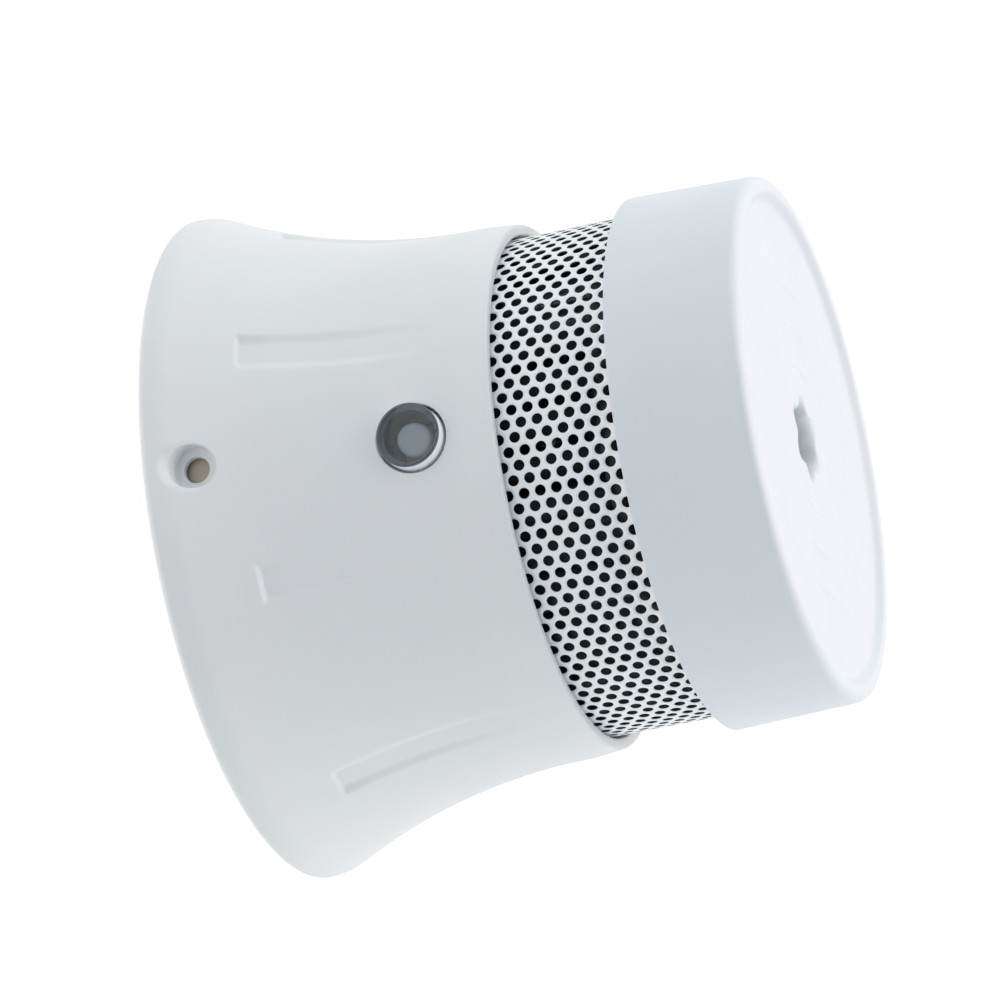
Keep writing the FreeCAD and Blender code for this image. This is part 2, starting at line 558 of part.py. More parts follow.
for obj, name in sensor:
    node(obj, name)

maze = new_body("chamber_labyrinth")
s = new_sketch(maze, "maze_ring_outline", lift=floor_z + 0.05)
circle(s, 0, 0, K("maze_rad"))
circle(s, 0, 0, K("maze_in"))
feature(maze, "Pad", s, "maze_ring", 0.8)
s = new_sketch(maze, "vane_outline", lift=floor_z + 0.05)
lean = math.radians(55.0)
ux, uy = math.cos(lean), math.sin(lean)
mid = (K("maze_rad") + K("maze_in")) / 2
hl, ht = K("vane_long") / 2, K("vane_thick") / 2
loop(s, [(mid - hl * ux + ht * uy, -hl * uy - ht * ux), (mid + hl * ux + ht * uy, hl * uy - ht * ux),
         (mid + hl * ux - ht * uy, hl * uy + ht * ux), (mid - hl * ux - ht * uy, -hl * uy + ht * ux)])
vane = feature(maze, "Pad", s, "vane", K("maze_top") - floor_z - 0.05)
polar(maze, [vane], K("vane_count"), "vanes")
node(maze, "chamber_labyrinth")

lid = new_body("chamber_lid")
s = new_sketch(lid, "lid_profile", "XZ_Plane")
loop(s, [(0, K("lid_z")), (K("shade_in"), K("lid_z")), (K("shade_in"), K("shade_low")), (K("shade_out"), K("shade_low")),
         (K("shade_out"), K("lid_z")), (K("maze_rad"), K("lid_z")), (K("maze_rad"), K("lid_z") + K("lid_thick")),
         (0, K("lid_z") + K("lid_thick"))])
feature(lid, "Revolution", s, "lid_disc")
s = new_sketch(lid, "lid_hole_outline", lift=K("lid_z") - 0.5)
circle(s, K("post_side"), K("post_side"), K("post_rad") + 0.2)
hole = feature(lid, "Pocket", s, "lid_hole", 3.0, back=True)
polar(lid, [hole], 4, "lid_holes")
s = new_sketch(lid, "lid_pin_outline", lift=K("lid_z") - 0.5)
circle(s, K("pin_ring"), 0, K("pin_rad") + 0.25)
hole = feature(lid, "Pocket", s, "lid_pin_hole", 3.0, back=True)
polar(lid, [hole], 2, "lid_pin_holes")
# side windows in the light shade, so that smoke reaches the middle
s = new_sketch(lid, "shade_window_outline", lift=K("shade_low") - 0.5)
loop(s, [(K("shade_in") - 1.0, -1.4), (K("shade_out") + 0.6, -1.4), (K("shade_out") + 0.6, 1.4), (K("shade_in") - 1.0, 1.4)])
window = feature(lid, "Pocket", s, "shade_window", 8.0, back=True)
polar(lid, [window], 12, "shade_windows")
node(lid, "chamber_lid")

# ================================================================ screen band

band = cut("screen_band",
           cyl("band_out", K("band_rad"), K("band_high") - K("band_low"), (0, 0, K("band_low"))),
           [cyl("band_in", K("band_rad") - K("band_thick"), K("band_high") - K("band_low") + 2, (0, 0, K("band_low") - 1))])
node(band, "screen_band")

# ================================================================ front cap

cap = new_body("front_cap")
s = new_sketch(cap, "cap_profile", "XZ_Plane")
loop(s, [(K("cap_rad"), K("cap_low")), (K("cap_top_rad"), K("cap_top") - K("cap_round"), K("cap_round") * 1.001),
         (K("cap_top_rad") - K("cap_round"), K("cap_top")), (K("cap_rim_in"), K("cap_top")), (K("face_rad"), K("face_z")),
         (0, K("face_z")), (0, K("cap_ceiling")), (K("cap_in"), K("cap_ceiling")), (K("cap_in"), K("cap_seat_z")),
         (K("cap_seat_rad"), K("cap_seat_z")), (K("cap_seat_rad"), K("cap_low"))])
feature(cap, "Revolution", s, "cap_shell")
s = new_sketch(cap, "post_outline", lift=floor_z + 0.05)
circle(s, K("post_side"), K("post_side"), K("post_rad"))
post = feature(cap, "Pad", s, "post", K("cap_ceiling") - floor_z + 0.3)
polar(cap, [post], 4, "posts")
s = new_sketch(cap, "post_bore_outline", lift=floor_z - 0.2)
circle(s, K("post_side"), K("post_side"), K("boss_bore"))
bore = feature(cap, "Pocket", s, "post_bore", 11.0, back=True)
polar(cap, [bore], 4, "post_bores")
# Sound outlet: a collar behind the face, cut through with six lobes.
s = new_sketch(cap, "collar_outline", lift=K("collar_low"))
circle(s, 0, 0, K("collar_rad"))
feature(cap, "Pad", s, "collar", K("cap_ceiling") - K("collar_low") + 0.3)
s = new_sketch(cap, "outlet_outline", lift=K("collar_low") - 0.5)
circle(s, 0, 0, K("outlet_rad"))
feature(cap, "Pocket", s, "outlet", 6.0, back=True)
s = new_sketch(cap, "outlet_lobe_outline", lift=K("collar_low") - 0.5)
circle(s, K("lobe_ring"), 0, K("lobe_small"))
lobe = feature(cap, "Pocket", s, "outlet_lobe", 6.0, back=True)
polar(cap, [lobe], 6, "outlet_lobes")
# Faint raised arcs on the face, three on each side of the outlet.
for i, (ring_rad, half) in enumerate(((6.65, 24), (10.65, 17), (14.45, 12))):
    s = new_sketch(cap, "relief_outline_%d" % i, lift=K("face_z") - 0.2)
    sector(s, ring_rad, K("relief_wide") + ring_rad, 0, half)
    arc = feature(cap, "Pad", s, "relief_arc_%d" % i, K("relief_tall") + 0.2)
    polar(cap, [arc], 2, "relief_arcs_%d" % i)
node(cap, "front_cap")

node(screws("cap_screws", post_spots, K("shelf_z") - 0.02, 40.0), "cap_screws")

# ================================================================ sounder

node(cyl("sounder_disc", K("disc_rad"), K("disc_thick"), (0, 0, K("disc_z"))), "sounder_disc")
node(cyl("sounder_ceramic", K("piezo_rad"), K("piezo_thick"), (0, 0, K("disc_z") - K("piezo_thick"))), "sounder_ceramic")
ring = new_body("sounder_ring")
s = new_sketch(ring, "ring_profile", "XZ_Plane")
loop(s, [(K("cup_ledge"), K("cup_low")), (K("cup_out"), K("cup_low")), (K("cup_out"), K("cap_ceiling") - 0.05),
         (K("cup_in"), K("cap_ceiling") - 0.05), (K("cup_in"), K("disc_z") - 0.02), (K("cup_ledge"), K("disc_z") - 0.02)])
feature(ring, "Revolution", s, "ring_shell")
node(ring, "sounder_ring")
foam = cut("sounder_gasket",
           cyl("foam_outer", K("foam_out"), K("cap_ceiling") - K("disc_z") - K("disc_thick") - 0.07, (0, 0, K("disc_z") + K("disc_thick") + 0.02)),
           [cyl("foam_inner", K("foam_in"), 6, (0, 0, K("disc_z")))])
node(foam, "sounder_gasket")
pins = []
for i, (x, y) in enumerate(pin_spots):
    pins.append(fuse("sounder_pin_%d" % i, [
        cyl("pin_low_%d" % i, K("pin_rad"), 40.0 - K("base_z"), (x, y, K("base_z"))),
        cyl("pin_high_%d" % i, K("pin_rad") - 0.25, K("cup_low") - 39.5 - 0.05, (x, y, 39.5)),
        cyl("pin_collar_%d" % i, K("pin_rad") + 0.15, 0.8, (x, y, 46.0))]))
node(compound("sounder_contacts", pins), "sounder_contacts")

# ================================================================ button

# Clear button: a cup over the lamp, a retaining flange behind the wall, and two arms past the lamp to a crossbar.
button = cut("test_button",
             fuse("button_solid", [
                 cyl("button_barrel", K("button_rad"), K("button_front") - 0.35 - 22.2, (0, -22.2, K("window_z")), "-y"),
                 cone("button_edge", K("button_rad"), K("button_rad") - 0.3, 0.35, (0, -K("button_front") + 0.35, K("window_z")), "-y"),
                 box("button_flange", (8.0, 0.7, 5.7), (-4.0, -22.7, 22.0)),
                 box("button_arm_a", (0.85, 5.2, 3.0), (-2.9, -22.5, K("window_z") - 1.5)),
                 box("button_arm_b", (0.85, 5.2, 3.0), (2.05, -22.5, K("window_z") - 1.5)),
                 box("button_bar", (5.8, 0.8, 3.0), (-2.9, -18.1, K("window_z") - 1.5))]),
             [cyl("button_cup", K("button_bore"), K("lamp_tip") + 1.0 - 21.0, (0, -21.0, K("window_z")), "-y")])
node(button, "test_button")
stem = cut("switch_plunger", cyl("stem_core", 1.7, 2.2, (0, -17.25, K("window_z")), "y"),
           [cyl("stem_dimple", 0.5, 0.3, (0, -17.3, K("window_z")), "y")])
node(stem, "switch_plunger")

# ================================================================ check and write

doc.recompute()
faults = []
for obj in doc.Objects:
    if any(word in obj.State for word in ("Invalid", "Error")):
        faults.append("%s: %s" % (obj.Label, obj.State))
for obj in nodes:
    if obj.Shape.isNull() or not obj.Shape.isValid() or not obj.Shape.Solids:
        faults.append("%s: shape is null, not valid or holds no solid" % obj.Label)
    elif obj.Shape.Volume <= 0:
        faults.append("%s: volume %.3f" % (obj.Label, obj.Shape.Volume))
if len({obj.Label for obj in nodes}) != len(nodes):
    faults.append("two nodes share one label")
if faults:
    raise RuntimeError("; ".join(faults))

os.makedirs("parts", exist_ok=True)
for obj in nodes:
    obj.Shape.exportStep("parts/%s.step" % obj.Label)
    print("%-24s solids %2d  volume %9.1f" % (obj.Label, len(obj.Shape.Solids), obj.Shape.Volume))
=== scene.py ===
import math

import bmesh
import bpy
import numpy as np
from mathutils import Matrix, Vector


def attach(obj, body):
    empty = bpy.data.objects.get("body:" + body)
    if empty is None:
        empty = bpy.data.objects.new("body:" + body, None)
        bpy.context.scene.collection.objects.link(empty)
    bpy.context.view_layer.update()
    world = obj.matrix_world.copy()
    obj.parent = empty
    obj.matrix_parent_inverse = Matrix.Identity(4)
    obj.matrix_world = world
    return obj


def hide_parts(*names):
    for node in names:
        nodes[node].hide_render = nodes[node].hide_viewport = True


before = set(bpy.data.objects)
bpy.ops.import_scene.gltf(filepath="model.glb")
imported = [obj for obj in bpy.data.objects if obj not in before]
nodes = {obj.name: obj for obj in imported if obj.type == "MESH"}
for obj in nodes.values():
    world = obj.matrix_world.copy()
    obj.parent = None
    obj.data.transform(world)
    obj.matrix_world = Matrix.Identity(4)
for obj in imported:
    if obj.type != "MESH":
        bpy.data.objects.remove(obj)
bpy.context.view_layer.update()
MM = 0.001
pi = math.pi

# ------------------------------------------------------------------ shape helpers (millimetres in, metres out)


def make_object(name, verts, faces, material=None, sharp_deg=50.0):
    """A mesh object from points in millimetres, smooth except along edges sharper than sharp_deg."""
    mesh = bpy.data.meshes.new(name)
    mesh.from_pydata([tuple(float(c) * MM for c in v) for v in verts], [], [tuple(int(i) for i in f) for f in faces])
    mesh.validate(clean_customdata=False)
    bm = bmesh.new()
    bm.from_mesh(mesh)
    bmesh.ops.remove_doubles(bm, verts=bm.verts, dist=1e-7)
    bmesh.ops.dissolve_degenerate(bm, edges=bm.edges, dist=1e-8)
    bmesh.ops.recalc_face_normals(bm, faces=bm.faces)
    limit = math.radians(sharp_deg)
    for f in bm.faces:
        f.smooth = True
    for e in bm.edges:
        e.smooth = not (len(e.link_faces) == 2 and e.calc_face_angle(0.0) > limit)
    bm.to_mesh(mesh)
    bm.free()
    mesh.update()
    obj = bpy.data.objects.new(name, mesh)
    bpy.context.scene.collection.objects.link(obj)
    if material:
        mesh.materials.append(material)
    return obj


class Patchwork:
    """Collects points and faces of one mesh."""

    def __init__(self):
        self.verts, self.faces = [], []

    def add(self, points):
        first = len(self.verts)
        self.verts.extend([tuple(p) for p in points])
        return list(range(first, first + len(points)))

    def bridge(self, ring_a, ring_b, closed=True):
        n = len(ring_a)
        for k in range(n if closed else n - 1):
            j = (k + 1) % n
            self.faces.append((ring_a[k], ring_a[j], ring_b[j], ring_b[k]))

    def fan(self, ring, centre):
        c = self.add([centre])[0]
        n = len(ring)
        for k in range(n):
            self.faces.append((ring[k], ring[(k + 1) % n], c))

    def tube(self, rings, close_ends=False):
        ids = [self.add(r) for r in rings]
        for a, b in zip(ids, ids[1:]):
            self.bridge(a, b)
        if close_ends:
            for ring in (ids[0], ids[-1]):
                self.fan(ring, np.mean([self.verts[i] for i in ring], axis=0))
        return ids

    def solid_outline(self, outline, z0, z1):
        """An upright solid from a closed outline (x, y), convex enough for a fan from its middle."""
        self.tube([[(x, y, z0) for x, y in outline], [(x, y, z1) for x, y in outline]], close_ends=True)

    def box(self, lo, hi):
        (a, b, c), (d, e, f) = lo, hi
        v = self.add([(a, b, c), (d, b, c), (d, e, c), (a, e, c), (a, b, f), (d, b, f), (d, e, f), (a, e, f)])
        for q in ((0, 3, 2, 1), (4, 5, 6, 7), (0, 1, 5, 4), (1, 2, 6, 5), (2, 3, 7, 6), (3, 0, 4, 7)):
            self.faces.append(tuple(v[i] for i in q))


def arc_points(cx, cz, rx, rz, t0, t1, n):
    """Points on an ellipse arc, angles in degrees, both ends included."""
    return [(cx + rx * math.cos(math.radians(t)), cz + rz * math.sin(math.radians(t))) for t in np.linspace(t0, t1, n)]


def smooth01(x):
    x = min(1.0, max(0.0, x))
    return x * x * (3 - 2 * x)


# ------------------------------------------------------------------ materials


class Graph:
    def __init__(self, name):
        self.m = bpy.data.materials.new(name)
        self.m.use_nodes = True
        self.t = self.m.node_tree
        self.b = self.t.nodes["Principled BSDF"]
        self.co = None

    def set(self, **values):
        for k, v in values.items():
            self.b.inputs[k.replace("_", " ")].default_value = v
        return self

    def node(self, kind, **props):
        n = self.t.nodes.new(kind)
        for k, v in props.items():
            setattr(n, k, v)
        return n

    def coords(self):
        if self.co is None:
            self.co = self.node("ShaderNodeTexCoord")
        return self.co.outputs["Object"]

    def noise(self, scale, detail=3.0, rough=0.55, stretch=None):
        n = self.node("ShaderNodeTexNoise")
        n.inputs["Scale"].default_value = scale
        n.inputs["Detail"].default_value = detail
        n.inputs["Roughness"].default_value = rough
        if stretch:
            mp = self.node("ShaderNodeMapping")
            mp.inputs["Scale"].default_value = stretch
            self.t.links.new(self.coords(), mp.inputs["Vector"])
            self.t.links.new(mp.outputs["Vector"], n.inputs["Vector"])
        else:
            self.t.links.new(self.coords(), n.inputs["Vector"])
        return n.outputs["Fac"]

    def spread(self, source, lo, hi, low_in=0.3, high_in=0.7):
        """A noise value carried to the range lo..hi."""
        r = self.node("ShaderNodeMapRange")
        r.inputs["From Min"].default_value = low_in
        r.inputs["From Max"].default_value = high_in
        r.inputs["To Min"].default_value = lo
        r.inputs["To Max"].default_value = hi
        self.t.links.new(source, r.inputs["Value"])
        return r.outputs["Result"]

    def ramp(self, source, stops):
        r = self.node("ShaderNodeValToRGB")
        el = r.color_ramp.elements
        while len(el) < len(stops):
            el.new(0.5)
        for e, (pos, col) in zip(el, stops):
            e.position = pos
            e.color = (*col, 1.0)
        self.t.links.new(source, r.inputs["Fac"])
        return r.outputs["Color"]

    def link(self, output, socket):
        self.t.links.new(output, self.b.inputs[socket])
        return self

    def bump(self, source, distance, strength=1.0):
        b = self.node("ShaderNodeBump")
        b.inputs["Distance"].default_value = distance
        b.inputs["Strength"].default_value = strength
        self.t.links.new(source, b.inputs["Height"])
        self.t.links.new(b.outputs["Normal"], self.b.inputs["Normal"])
        return self


def shade(colour, k):
    return tuple(min(1.0, c * k) for c in colour)


def plastic(name, colour, rough, grain=0.000004, grain_scale=9000.0, vary=0.02, rough_vary=0.06, specular=0.5, subsurface=0.0):
    """Moulded plastic: a fine spark-eroded grain, slight flow marks in the colour and patches of handling gloss."""
    g = Graph(name)
    g.set(Roughness=rough, **{"Specular IOR Level": specular})
    flow = g.noise(55.0, 4.0, 0.6)
    g.link(g.ramp(flow, [(0.3, shade(colour, 1 - vary)), (0.7, shade(colour, 1 + vary))]), "Base Color")
    g.link(g.spread(g.noise(140.0, 3.0), rough - rough_vary, rough + rough_vary), "Roughness")
    if subsurface:
        g.set(**{"Subsurface Weight": subsurface, "Subsurface Scale": 0.0006, "Subsurface Radius": (1.0, 0.9, 0.8)})
    g.bump(g.noise(grain_scale, 2.0), grain)
    return g.m


def metal(name, colour, rough, brush=(1.0, 1.0, 1.0), scale=2500.0, grain=0.000003, metallic=1.0):
    g = Graph(name)
    g.set(Metallic=metallic, Roughness=rough)
    tone = g.noise(scale * 0.04, 4.0, 0.6)
    g.link(g.ramp(tone, [(0.25, shade(colour, 0.86)), (0.75, shade(colour, 1.08))]), "Base Color")
    lines = g.noise(scale, 3.0, 0.6, stretch=brush)
    g.link(g.spread(lines, rough - 0.08, rough + 0.1), "Roughness")
    g.bump(lines, grain)
    return g.m


housing_white = plastic("housing_white", (0.768, 0.770, 0.776), 0.42)
# the cap is the same white plastic as the housing; its darker, bluer colour is painted shade
cap_white_painted_shade = plastic("cap_white_painted_shade", (0.722, 0.745, 0.775), 0.42)
plate_white = plastic("plate_white", (0.76, 0.77, 0.78), 0.5)


def masked(name, centre, axis_mask, edge_lo, edge_hi, painted_shade_colour, light, rough, front=None):
    """Two colours split by the distance from an axis; axis_mask keeps the two directions across it. The colour nearer
    the axis (and, with front, on the front-most face) is painted shade.
    """
    g = Graph(name)
    g.set(Roughness=rough)
    shift = g.node("ShaderNodeVectorMath", operation="SUBTRACT")
    shift.inputs[1].default_value = centre
    g.t.links.new(g.coords(), shift.inputs[0])
    keep = g.node("ShaderNodeVectorMath", operation="MULTIPLY")
    keep.inputs[1].default_value = axis_mask
    g.t.links.new(shift.outputs["Vector"], keep.inputs[0])
    size = g.node("ShaderNodeVectorMath", operation="LENGTH")
    g.t.links.new(keep.outputs["Vector"], size.inputs[0])
    mask = g.node("ShaderNodeMapRange")
    mask.inputs["From Min"].default_value = edge_lo
    mask.inputs["From Max"].default_value = edge_hi
    g.t.links.new(size.outputs["Value"], mask.inputs["Value"])
    mask = mask.outputs["Result"]
    if front is not None:
        sep = g.node("ShaderNodeSeparateXYZ")
        g.t.links.new(g.coords(), sep.inputs["Vector"])
        near = g.node("ShaderNodeMapRange")
        near.inputs["From Min"].default_value = front - 0.00002
        near.inputs["From Max"].default_value = front + 0.00002
        g.t.links.new(sep.outputs["Y"], near.inputs["Value"])
        both = g.node("ShaderNodeMath", operation="MULTIPLY")
        g.t.links.new(mask, both.inputs[0])
        g.t.links.new(near.outputs["Result"], both.inputs[1])
        mask = both.outputs["Value"]
    tone = g.ramp(g.noise(220.0, 3.0), [(0.3, shade(light, 0.98)), (0.7, shade(light, 1.02))])
    mix = g.node("ShaderNodeMix", data_type="RGBA")
    mix.inputs[6].default_value = (*painted_shade_colour, 1.0)
    g.t.links.new(mask, mix.inputs["Factor"])
    g.t.links.new(tone, mix.inputs[7])
    g.link(mix.outputs[2], "Base Color")
    g.link(g.spread(g.noise(500.0, 2.0), rough - 0.06, rough + 0.08), "Roughness")
    g.bump(g.noise(2600.0, 2.5), 0.000006)
    return g.m


# white screen band whose hole walls and inner face are painted near-black as the shade inside the perforations
band_white = masked("band_white", (0, 0, 0), (1, 1, 0), 0.023452, 0.023468, (0.02, 0.021, 0.023), (0.88, 0.885, 0.89), 0.32)
# white button sleeve whose inside and front face are painted dark blue-grey as the shade seen through the clear lens
sleeve_white_painted_shade = masked("button_sleeve_painted_shade", (0, 0, 0.02484), (1, 0, 1), 0.002872, 0.002888, (0.125, 0.152, 0.178), (0.90, 0.91, 0.92), 0.4, front=-0.0262)
chamber_black = plastic("chamber_black", (0.022, 0.024, 0.027), 0.42, grain=0.000002, grain_scale=1500.0, vary=0.15, rough_vary=0.05, specular=0.4)
black_plastic = plastic("black_plastic", (0.032, 0.036, 0.040), 0.45, vary=0.12)
brass = metal("brass_plain", (0.56, 0.47, 0.375), 0.6, scale=3000.0, metallic=0.35)
brass_disc = metal("brass_disc", (0.76, 0.58, 0.30), 0.28, scale=4000.0, brush=(1.0, 12.0, 1.0))
steel = metal("zinc_steel", (0.62, 0.63, 0.66), 0.3)
nickel = metal("nickel_strip", (0.70, 0.68, 0.64), 0.33, brush=(1.0, 1.0, 14.0))
aluminium = metal("can_aluminium", (0.80, 0.81, 0.83), 0.25, brush=(1.0, 1.0, 10.0))
ceramic = plastic("piezo_ceramic", (0.66, 0.66, 0.61), 0.38, grain=0.000006, grain_scale=5000.0, vary=0.05)
foam = plastic("gasket_foam", (0.06, 0.06, 0.065), 0.9, grain=0.00006, grain_scale=2400.0, vary=0.25, specular=0.15)
label = plastic("label_silver", (0.66, 0.67, 0.69), 0.3, grain=0.000001, vary=0.03)

g = Graph("cell_wrap")
g.set(Roughness=0.3)
g.set(**{"Coat Weight": 0.4, "Coat Roughness": 0.12})
g.link(g.ramp(g.noise(70.0, 3.0), [(0.3, (0.045, 0.085, 0.20)), (0.7, (0.06, 0.105, 0.24))]), "Base Color")
g.link(g.spread(g.noise(300.0, 2.0), 0.22, 0.36), "Roughness")
g.bump(g.noise(500.0, 3.0, 0.6, stretch=(1.0, 6.0, 6.0)), 0.00001)
cell_wrap = g.m

# one copper wire; the dark troughs of the bands between the turns are painted shade, on top of the bump
g = Graph("coil_copper")
g.set(Metallic=1.0, Roughness=0.3)
w = g.node("ShaderNodeTexWave", wave_type="BANDS", bands_direction="Z")
w.inputs["Scale"].default_value = 900.0
g.t.links.new(g.coords(), w.inputs["Vector"])
g.link(g.ramp(w.outputs["Fac"], [(0.1, (0.25, 0.09, 0.035)), (0.9, (0.72, 0.34, 0.16))]), "Base Color")
g.bump(w.outputs["Fac"], 0.00005)
coil_copper = g.m

g = Graph("board_mask")
g.set(Roughness=0.35)
g.set(**{"Coat Weight": 0.3, "Coat Roughness": 0.15})
br = g.node("ShaderNodeTexBrick", offset=0.5, squash=1.0)
br.inputs["Scale"].default_value = 260.0
br.inputs["Mortar Size"].default_value = 0.03
br.inputs["Color1"].default_value = (0.012, 0.085, 0.035, 1)
br.inputs["Color2"].default_value = (0.016, 0.105, 0.045, 1)
br.inputs["Mortar"].default_value = (0.04, 0.20, 0.09, 1)
g.t.links.new(g.coords(), br.inputs["Vector"])
g.link(br.outputs["Color"], "Base Color")
g.link(g.spread(g.noise(800.0, 2.0), 0.28, 0.42), "Roughness")
g.bump(br.outputs["Fac"], 0.00002)
board_mask = g.m


def clear(name, tint, ior, rough_lo, rough_hi, grain):
    g = Graph(name)
    g.set(Roughness=rough_lo, IOR=ior)
    g.set(**{"Transmission Weight": 1.0})
    g.link(g.ramp(g.noise(400.0, 2.0), [(0.3, shade(tint, 0.97)), (0.7, tint)]), "Base Color")
    g.link(g.spread(g.noise(900.0, 3.0), rough_lo, rough_hi), "Roughness")
    g.bump(g.noise(350.0, 2.0), grain)
    return g.m


acrylic = clear("clear_acrylic", (0.90, 0.955, 0.99), 1.49, 0.01, 0.05, 0.000004)
epoxy = clear("lamp_epoxy", (0.90, 0.92, 0.94), 1.53, 0.05, 0.12, 0.000003)
led_lens = plastic("led_lens", (0.50, 0.525, 0.55), 0.4, grain=0.000002, vary=0.03)

PAINT = {
    "mounting_plate": plate_white, "lock_insert": brass, "rear_cover": plate_white, "rear_cover_screws": steel,
    "rating_label": label, "battery_cell": cell_wrap, "battery_holder": black_plastic, "battery_tab_positive": nickel,
    "battery_tab_negative": nickel, "main_board": board_mask, "microcontroller": black_plastic, "capacitor": aluminium,
    "boost_coil": coil_copper, "tact_switch": black_plastic, "indicator_led": led_lens, "chamber_base": chamber_black,
    "ir_emitter": epoxy, "photodiode": black_plastic, "chamber_labyrinth": chamber_black, "chamber_lid": chamber_black,
    "screen_band": band_white, "front_cap": cap_white_painted_shade, "bell_housing": housing_white, "cap_screws": steel,
    "sounder_disc": brass_disc, "sounder_ceramic": ceramic, "sounder_ring": plate_white, "sounder_gasket": foam,
    "sounder_contacts": nickel, "test_button": acrylic, "switch_plunger": black_plastic,
}
for name, obj in nodes.items():
    obj.data.materials.clear()
    obj.data.materials.append(PAINT[name])

# ------------------------------------------------------------------ bell housing

# Outer profile: rolled foot, convex flare, concave waist, straight neck.
FOOT_R, FOOT_Z, FLARE_R, FLARE_Z = 29.07, 1.03, 31.5, 2.14
ARC_C, ARC_R = (26.444, 2.14), 5.056
WAIST_C, WAIST_RHO = (81.32, 29.36), 56.2
JOIN_Z = 4.387
RIM_Z, RIM_R = 32.35, 24.8


def r_out(z):
    if z >= WAIST_C[1]:
        return 25.12 + (RIM_R - 25.12) * (z - WAIST_C[1]) / (RIM_Z - WAIST_C[1])
    if z >= JOIN_Z:
        return WAIST_C[0] - math.sqrt(WAIST_RHO ** 2 - (WAIST_C[1] - z) ** 2)
    if z >= FLARE_Z:
        return ARC_C[0] + math.sqrt(ARC_R ** 2 - (z - ARC_C[1]) ** 2)
    return FOOT_R + (FLARE_R - FOOT_R) * math.sqrt(max(0.0, 1 - ((FLARE_Z - z) / (FLARE_Z - FOOT_Z)) ** 2))


def r_in(z):
    """Inner wall between the skirt and the shelf."""
    if z >= 26.4:
        return 23.2
    mx, mz = (23.3 + 28.95) / 2, (26.4 + 5.4) / 2
    dx, dz = 28.95 - 23.3, 5.4 - 26.4
    d = math.hypot(dx, dz)
    off = math.sqrt(55.0 ** 2 - (d / 2) ** 2)
    cx, cz = mx - dz / d * off, mz + dx / d * off
    return cx - math.sqrt(55.0 ** 2 - (z - cz) ** 2)


GROOVES = [math.radians(22.5 + 45 * k) for k in range(8)]
G_LOW, G_HIGH, G_HALF, G_DEEP, G_CORNER = 9.7, 26.6, 1.65, 0.29, 1.35


def groove_depth(theta, z, r):
    """A long shallow pocket: soft sides, a steeper near end, rounded corners at the far end."""
    if z < G_LOW - 0.3 or z > G_HIGH + 0.5:
        return 0.0
    best = min(abs((theta - a + pi) % (2 * pi) - pi) for a in GROOVES)
    across = r * math.sin(min(best, 1.0))
    if across > G_HALF + 0.6:
        return 0.0
    # distance outside the pocket's outline (negative inside)
    qx, qz = across - (G_HALF - G_CORNER), z - (G_HIGH - G_CORNER)
    if z > G_HIGH - G_CORNER:
        away = math.hypot(max(qx, 0.0), max(qz, 0.0)) + min(max(qx, qz), 0.0) - G_CORNER
    else:
        away = across - G_HALF
    wall = 1 - smooth01((away + 0.62) / 1.05)
    end = smooth01((z - (G_LOW - 0.14)) / 0.40) * (1 + 0.55 * (1 - smooth01((z - 10.2) / 2.6)))
    fade = 1 - 0.7 * smooth01((z - 17.0) / 9.0)
    return G_DEEP * wall * end * fade


columns = []
for k in range(8):
    c = 22.5 + 45 * k
    columns += [c + d for d in np.linspace(-5.4, 5.4, 41)]
    columns += [c + d for d in np.linspace(5.4, 39.6, 37)[1:-1]]
columns = sorted({round(c % 360, 4) for c in columns})
theta = [math.radians(c) for c in columns]
NC = len(theta)

z_wall = sorted(set(
    [round(v, 4) for v in np.linspace(5.0, 9.45, 10)]
    + [round(9.45 + 0.07 * i, 4) for i in range(1, 9)]
    + [round(v, 4) for v in np.linspace(10.2, 22.0, 22)]
    + [round(v, 4) for v in np.linspace(22.5, 24.6, 5)]
    + [round(v, 4) for v in np.linspace(24.8, 27.8, 21)]
    + [round(v, 4) for v in np.linspace(28.2, 29.36, 4)]))
outer = []
outer += arc_points(FOOT_R, FLARE_Z, FLARE_R - FOOT_R, FLARE_Z - FOOT_Z, -90, 0, 12)
outer += [(r_out(z), z) for z in (2.45, 2.75, 3.1, 3.45, 3.8, 4.1, 4.387, 4.7)]
outer += [(r_out(z), z) for z in z_wall]
outer += [(r_out(z), z) for z in (30.0, 30.8, 31.5, 32.0)]
outer += arc_points(RIM_R - 0.26 + 0.01, RIM_Z - 0.26, 0.26, 0.26, 15, 90, 5)
inner = arc_points(23.75 + 0.2, RIM_Z - 0.2, 0.2, 0.2, 90, 180, 4)
inner += [(23.75, 31.2), (23.75, 30.2), (23.2, 30.2), (23.2, 28.0)]
SHELF = {len(inner), len(inner) + 1}
inner += [(19.6, 28.0), (19.6, 26.4)]
inner_wall_first = len(inner)
inner_z = [26.0, 24.5, 22.9, 21.5, 20.2, 18.5, 16.8, 15.1, 13.4, 11.7, 10.4, 9.9, 9.2, 8.3, 7.4, 6.5, 5.9]
inner += [(23.3, 26.4)] + [(r_in(z), z) for z in inner_z]
inner += [(28.95, 5.4), (28.97, 4.2), (29.4, 3.2), (29.4, 2.2), (28.3, 1.5), (28.3, 1.03)]


def shelf_radius(t):
    """The shelf runs in to 19.6 mm, further at its four screw lobes, and stops short at the notch."""
    if abs((t + pi / 2 + pi) % (2 * pi) - pi) < math.asin(5.2 / 23.2):
        return 22.98
    r = 19.6
    for a in (45, 135, 225, 315):
        off = abs((t - math.radians(a) + pi) % (2 * pi) - pi)
        d, rad = 18.526, 2.6
        if off < math.asin(rad / d):
            r = min(r, d * math.cos(off) - math.sqrt(rad ** 2 - (d * math.sin(off)) ** 2))
    return r


def outer_point(t, r, z):
    r = r - groove_depth(t, z, r)
    return (r * math.cos(t), r * math.sin(t), z)


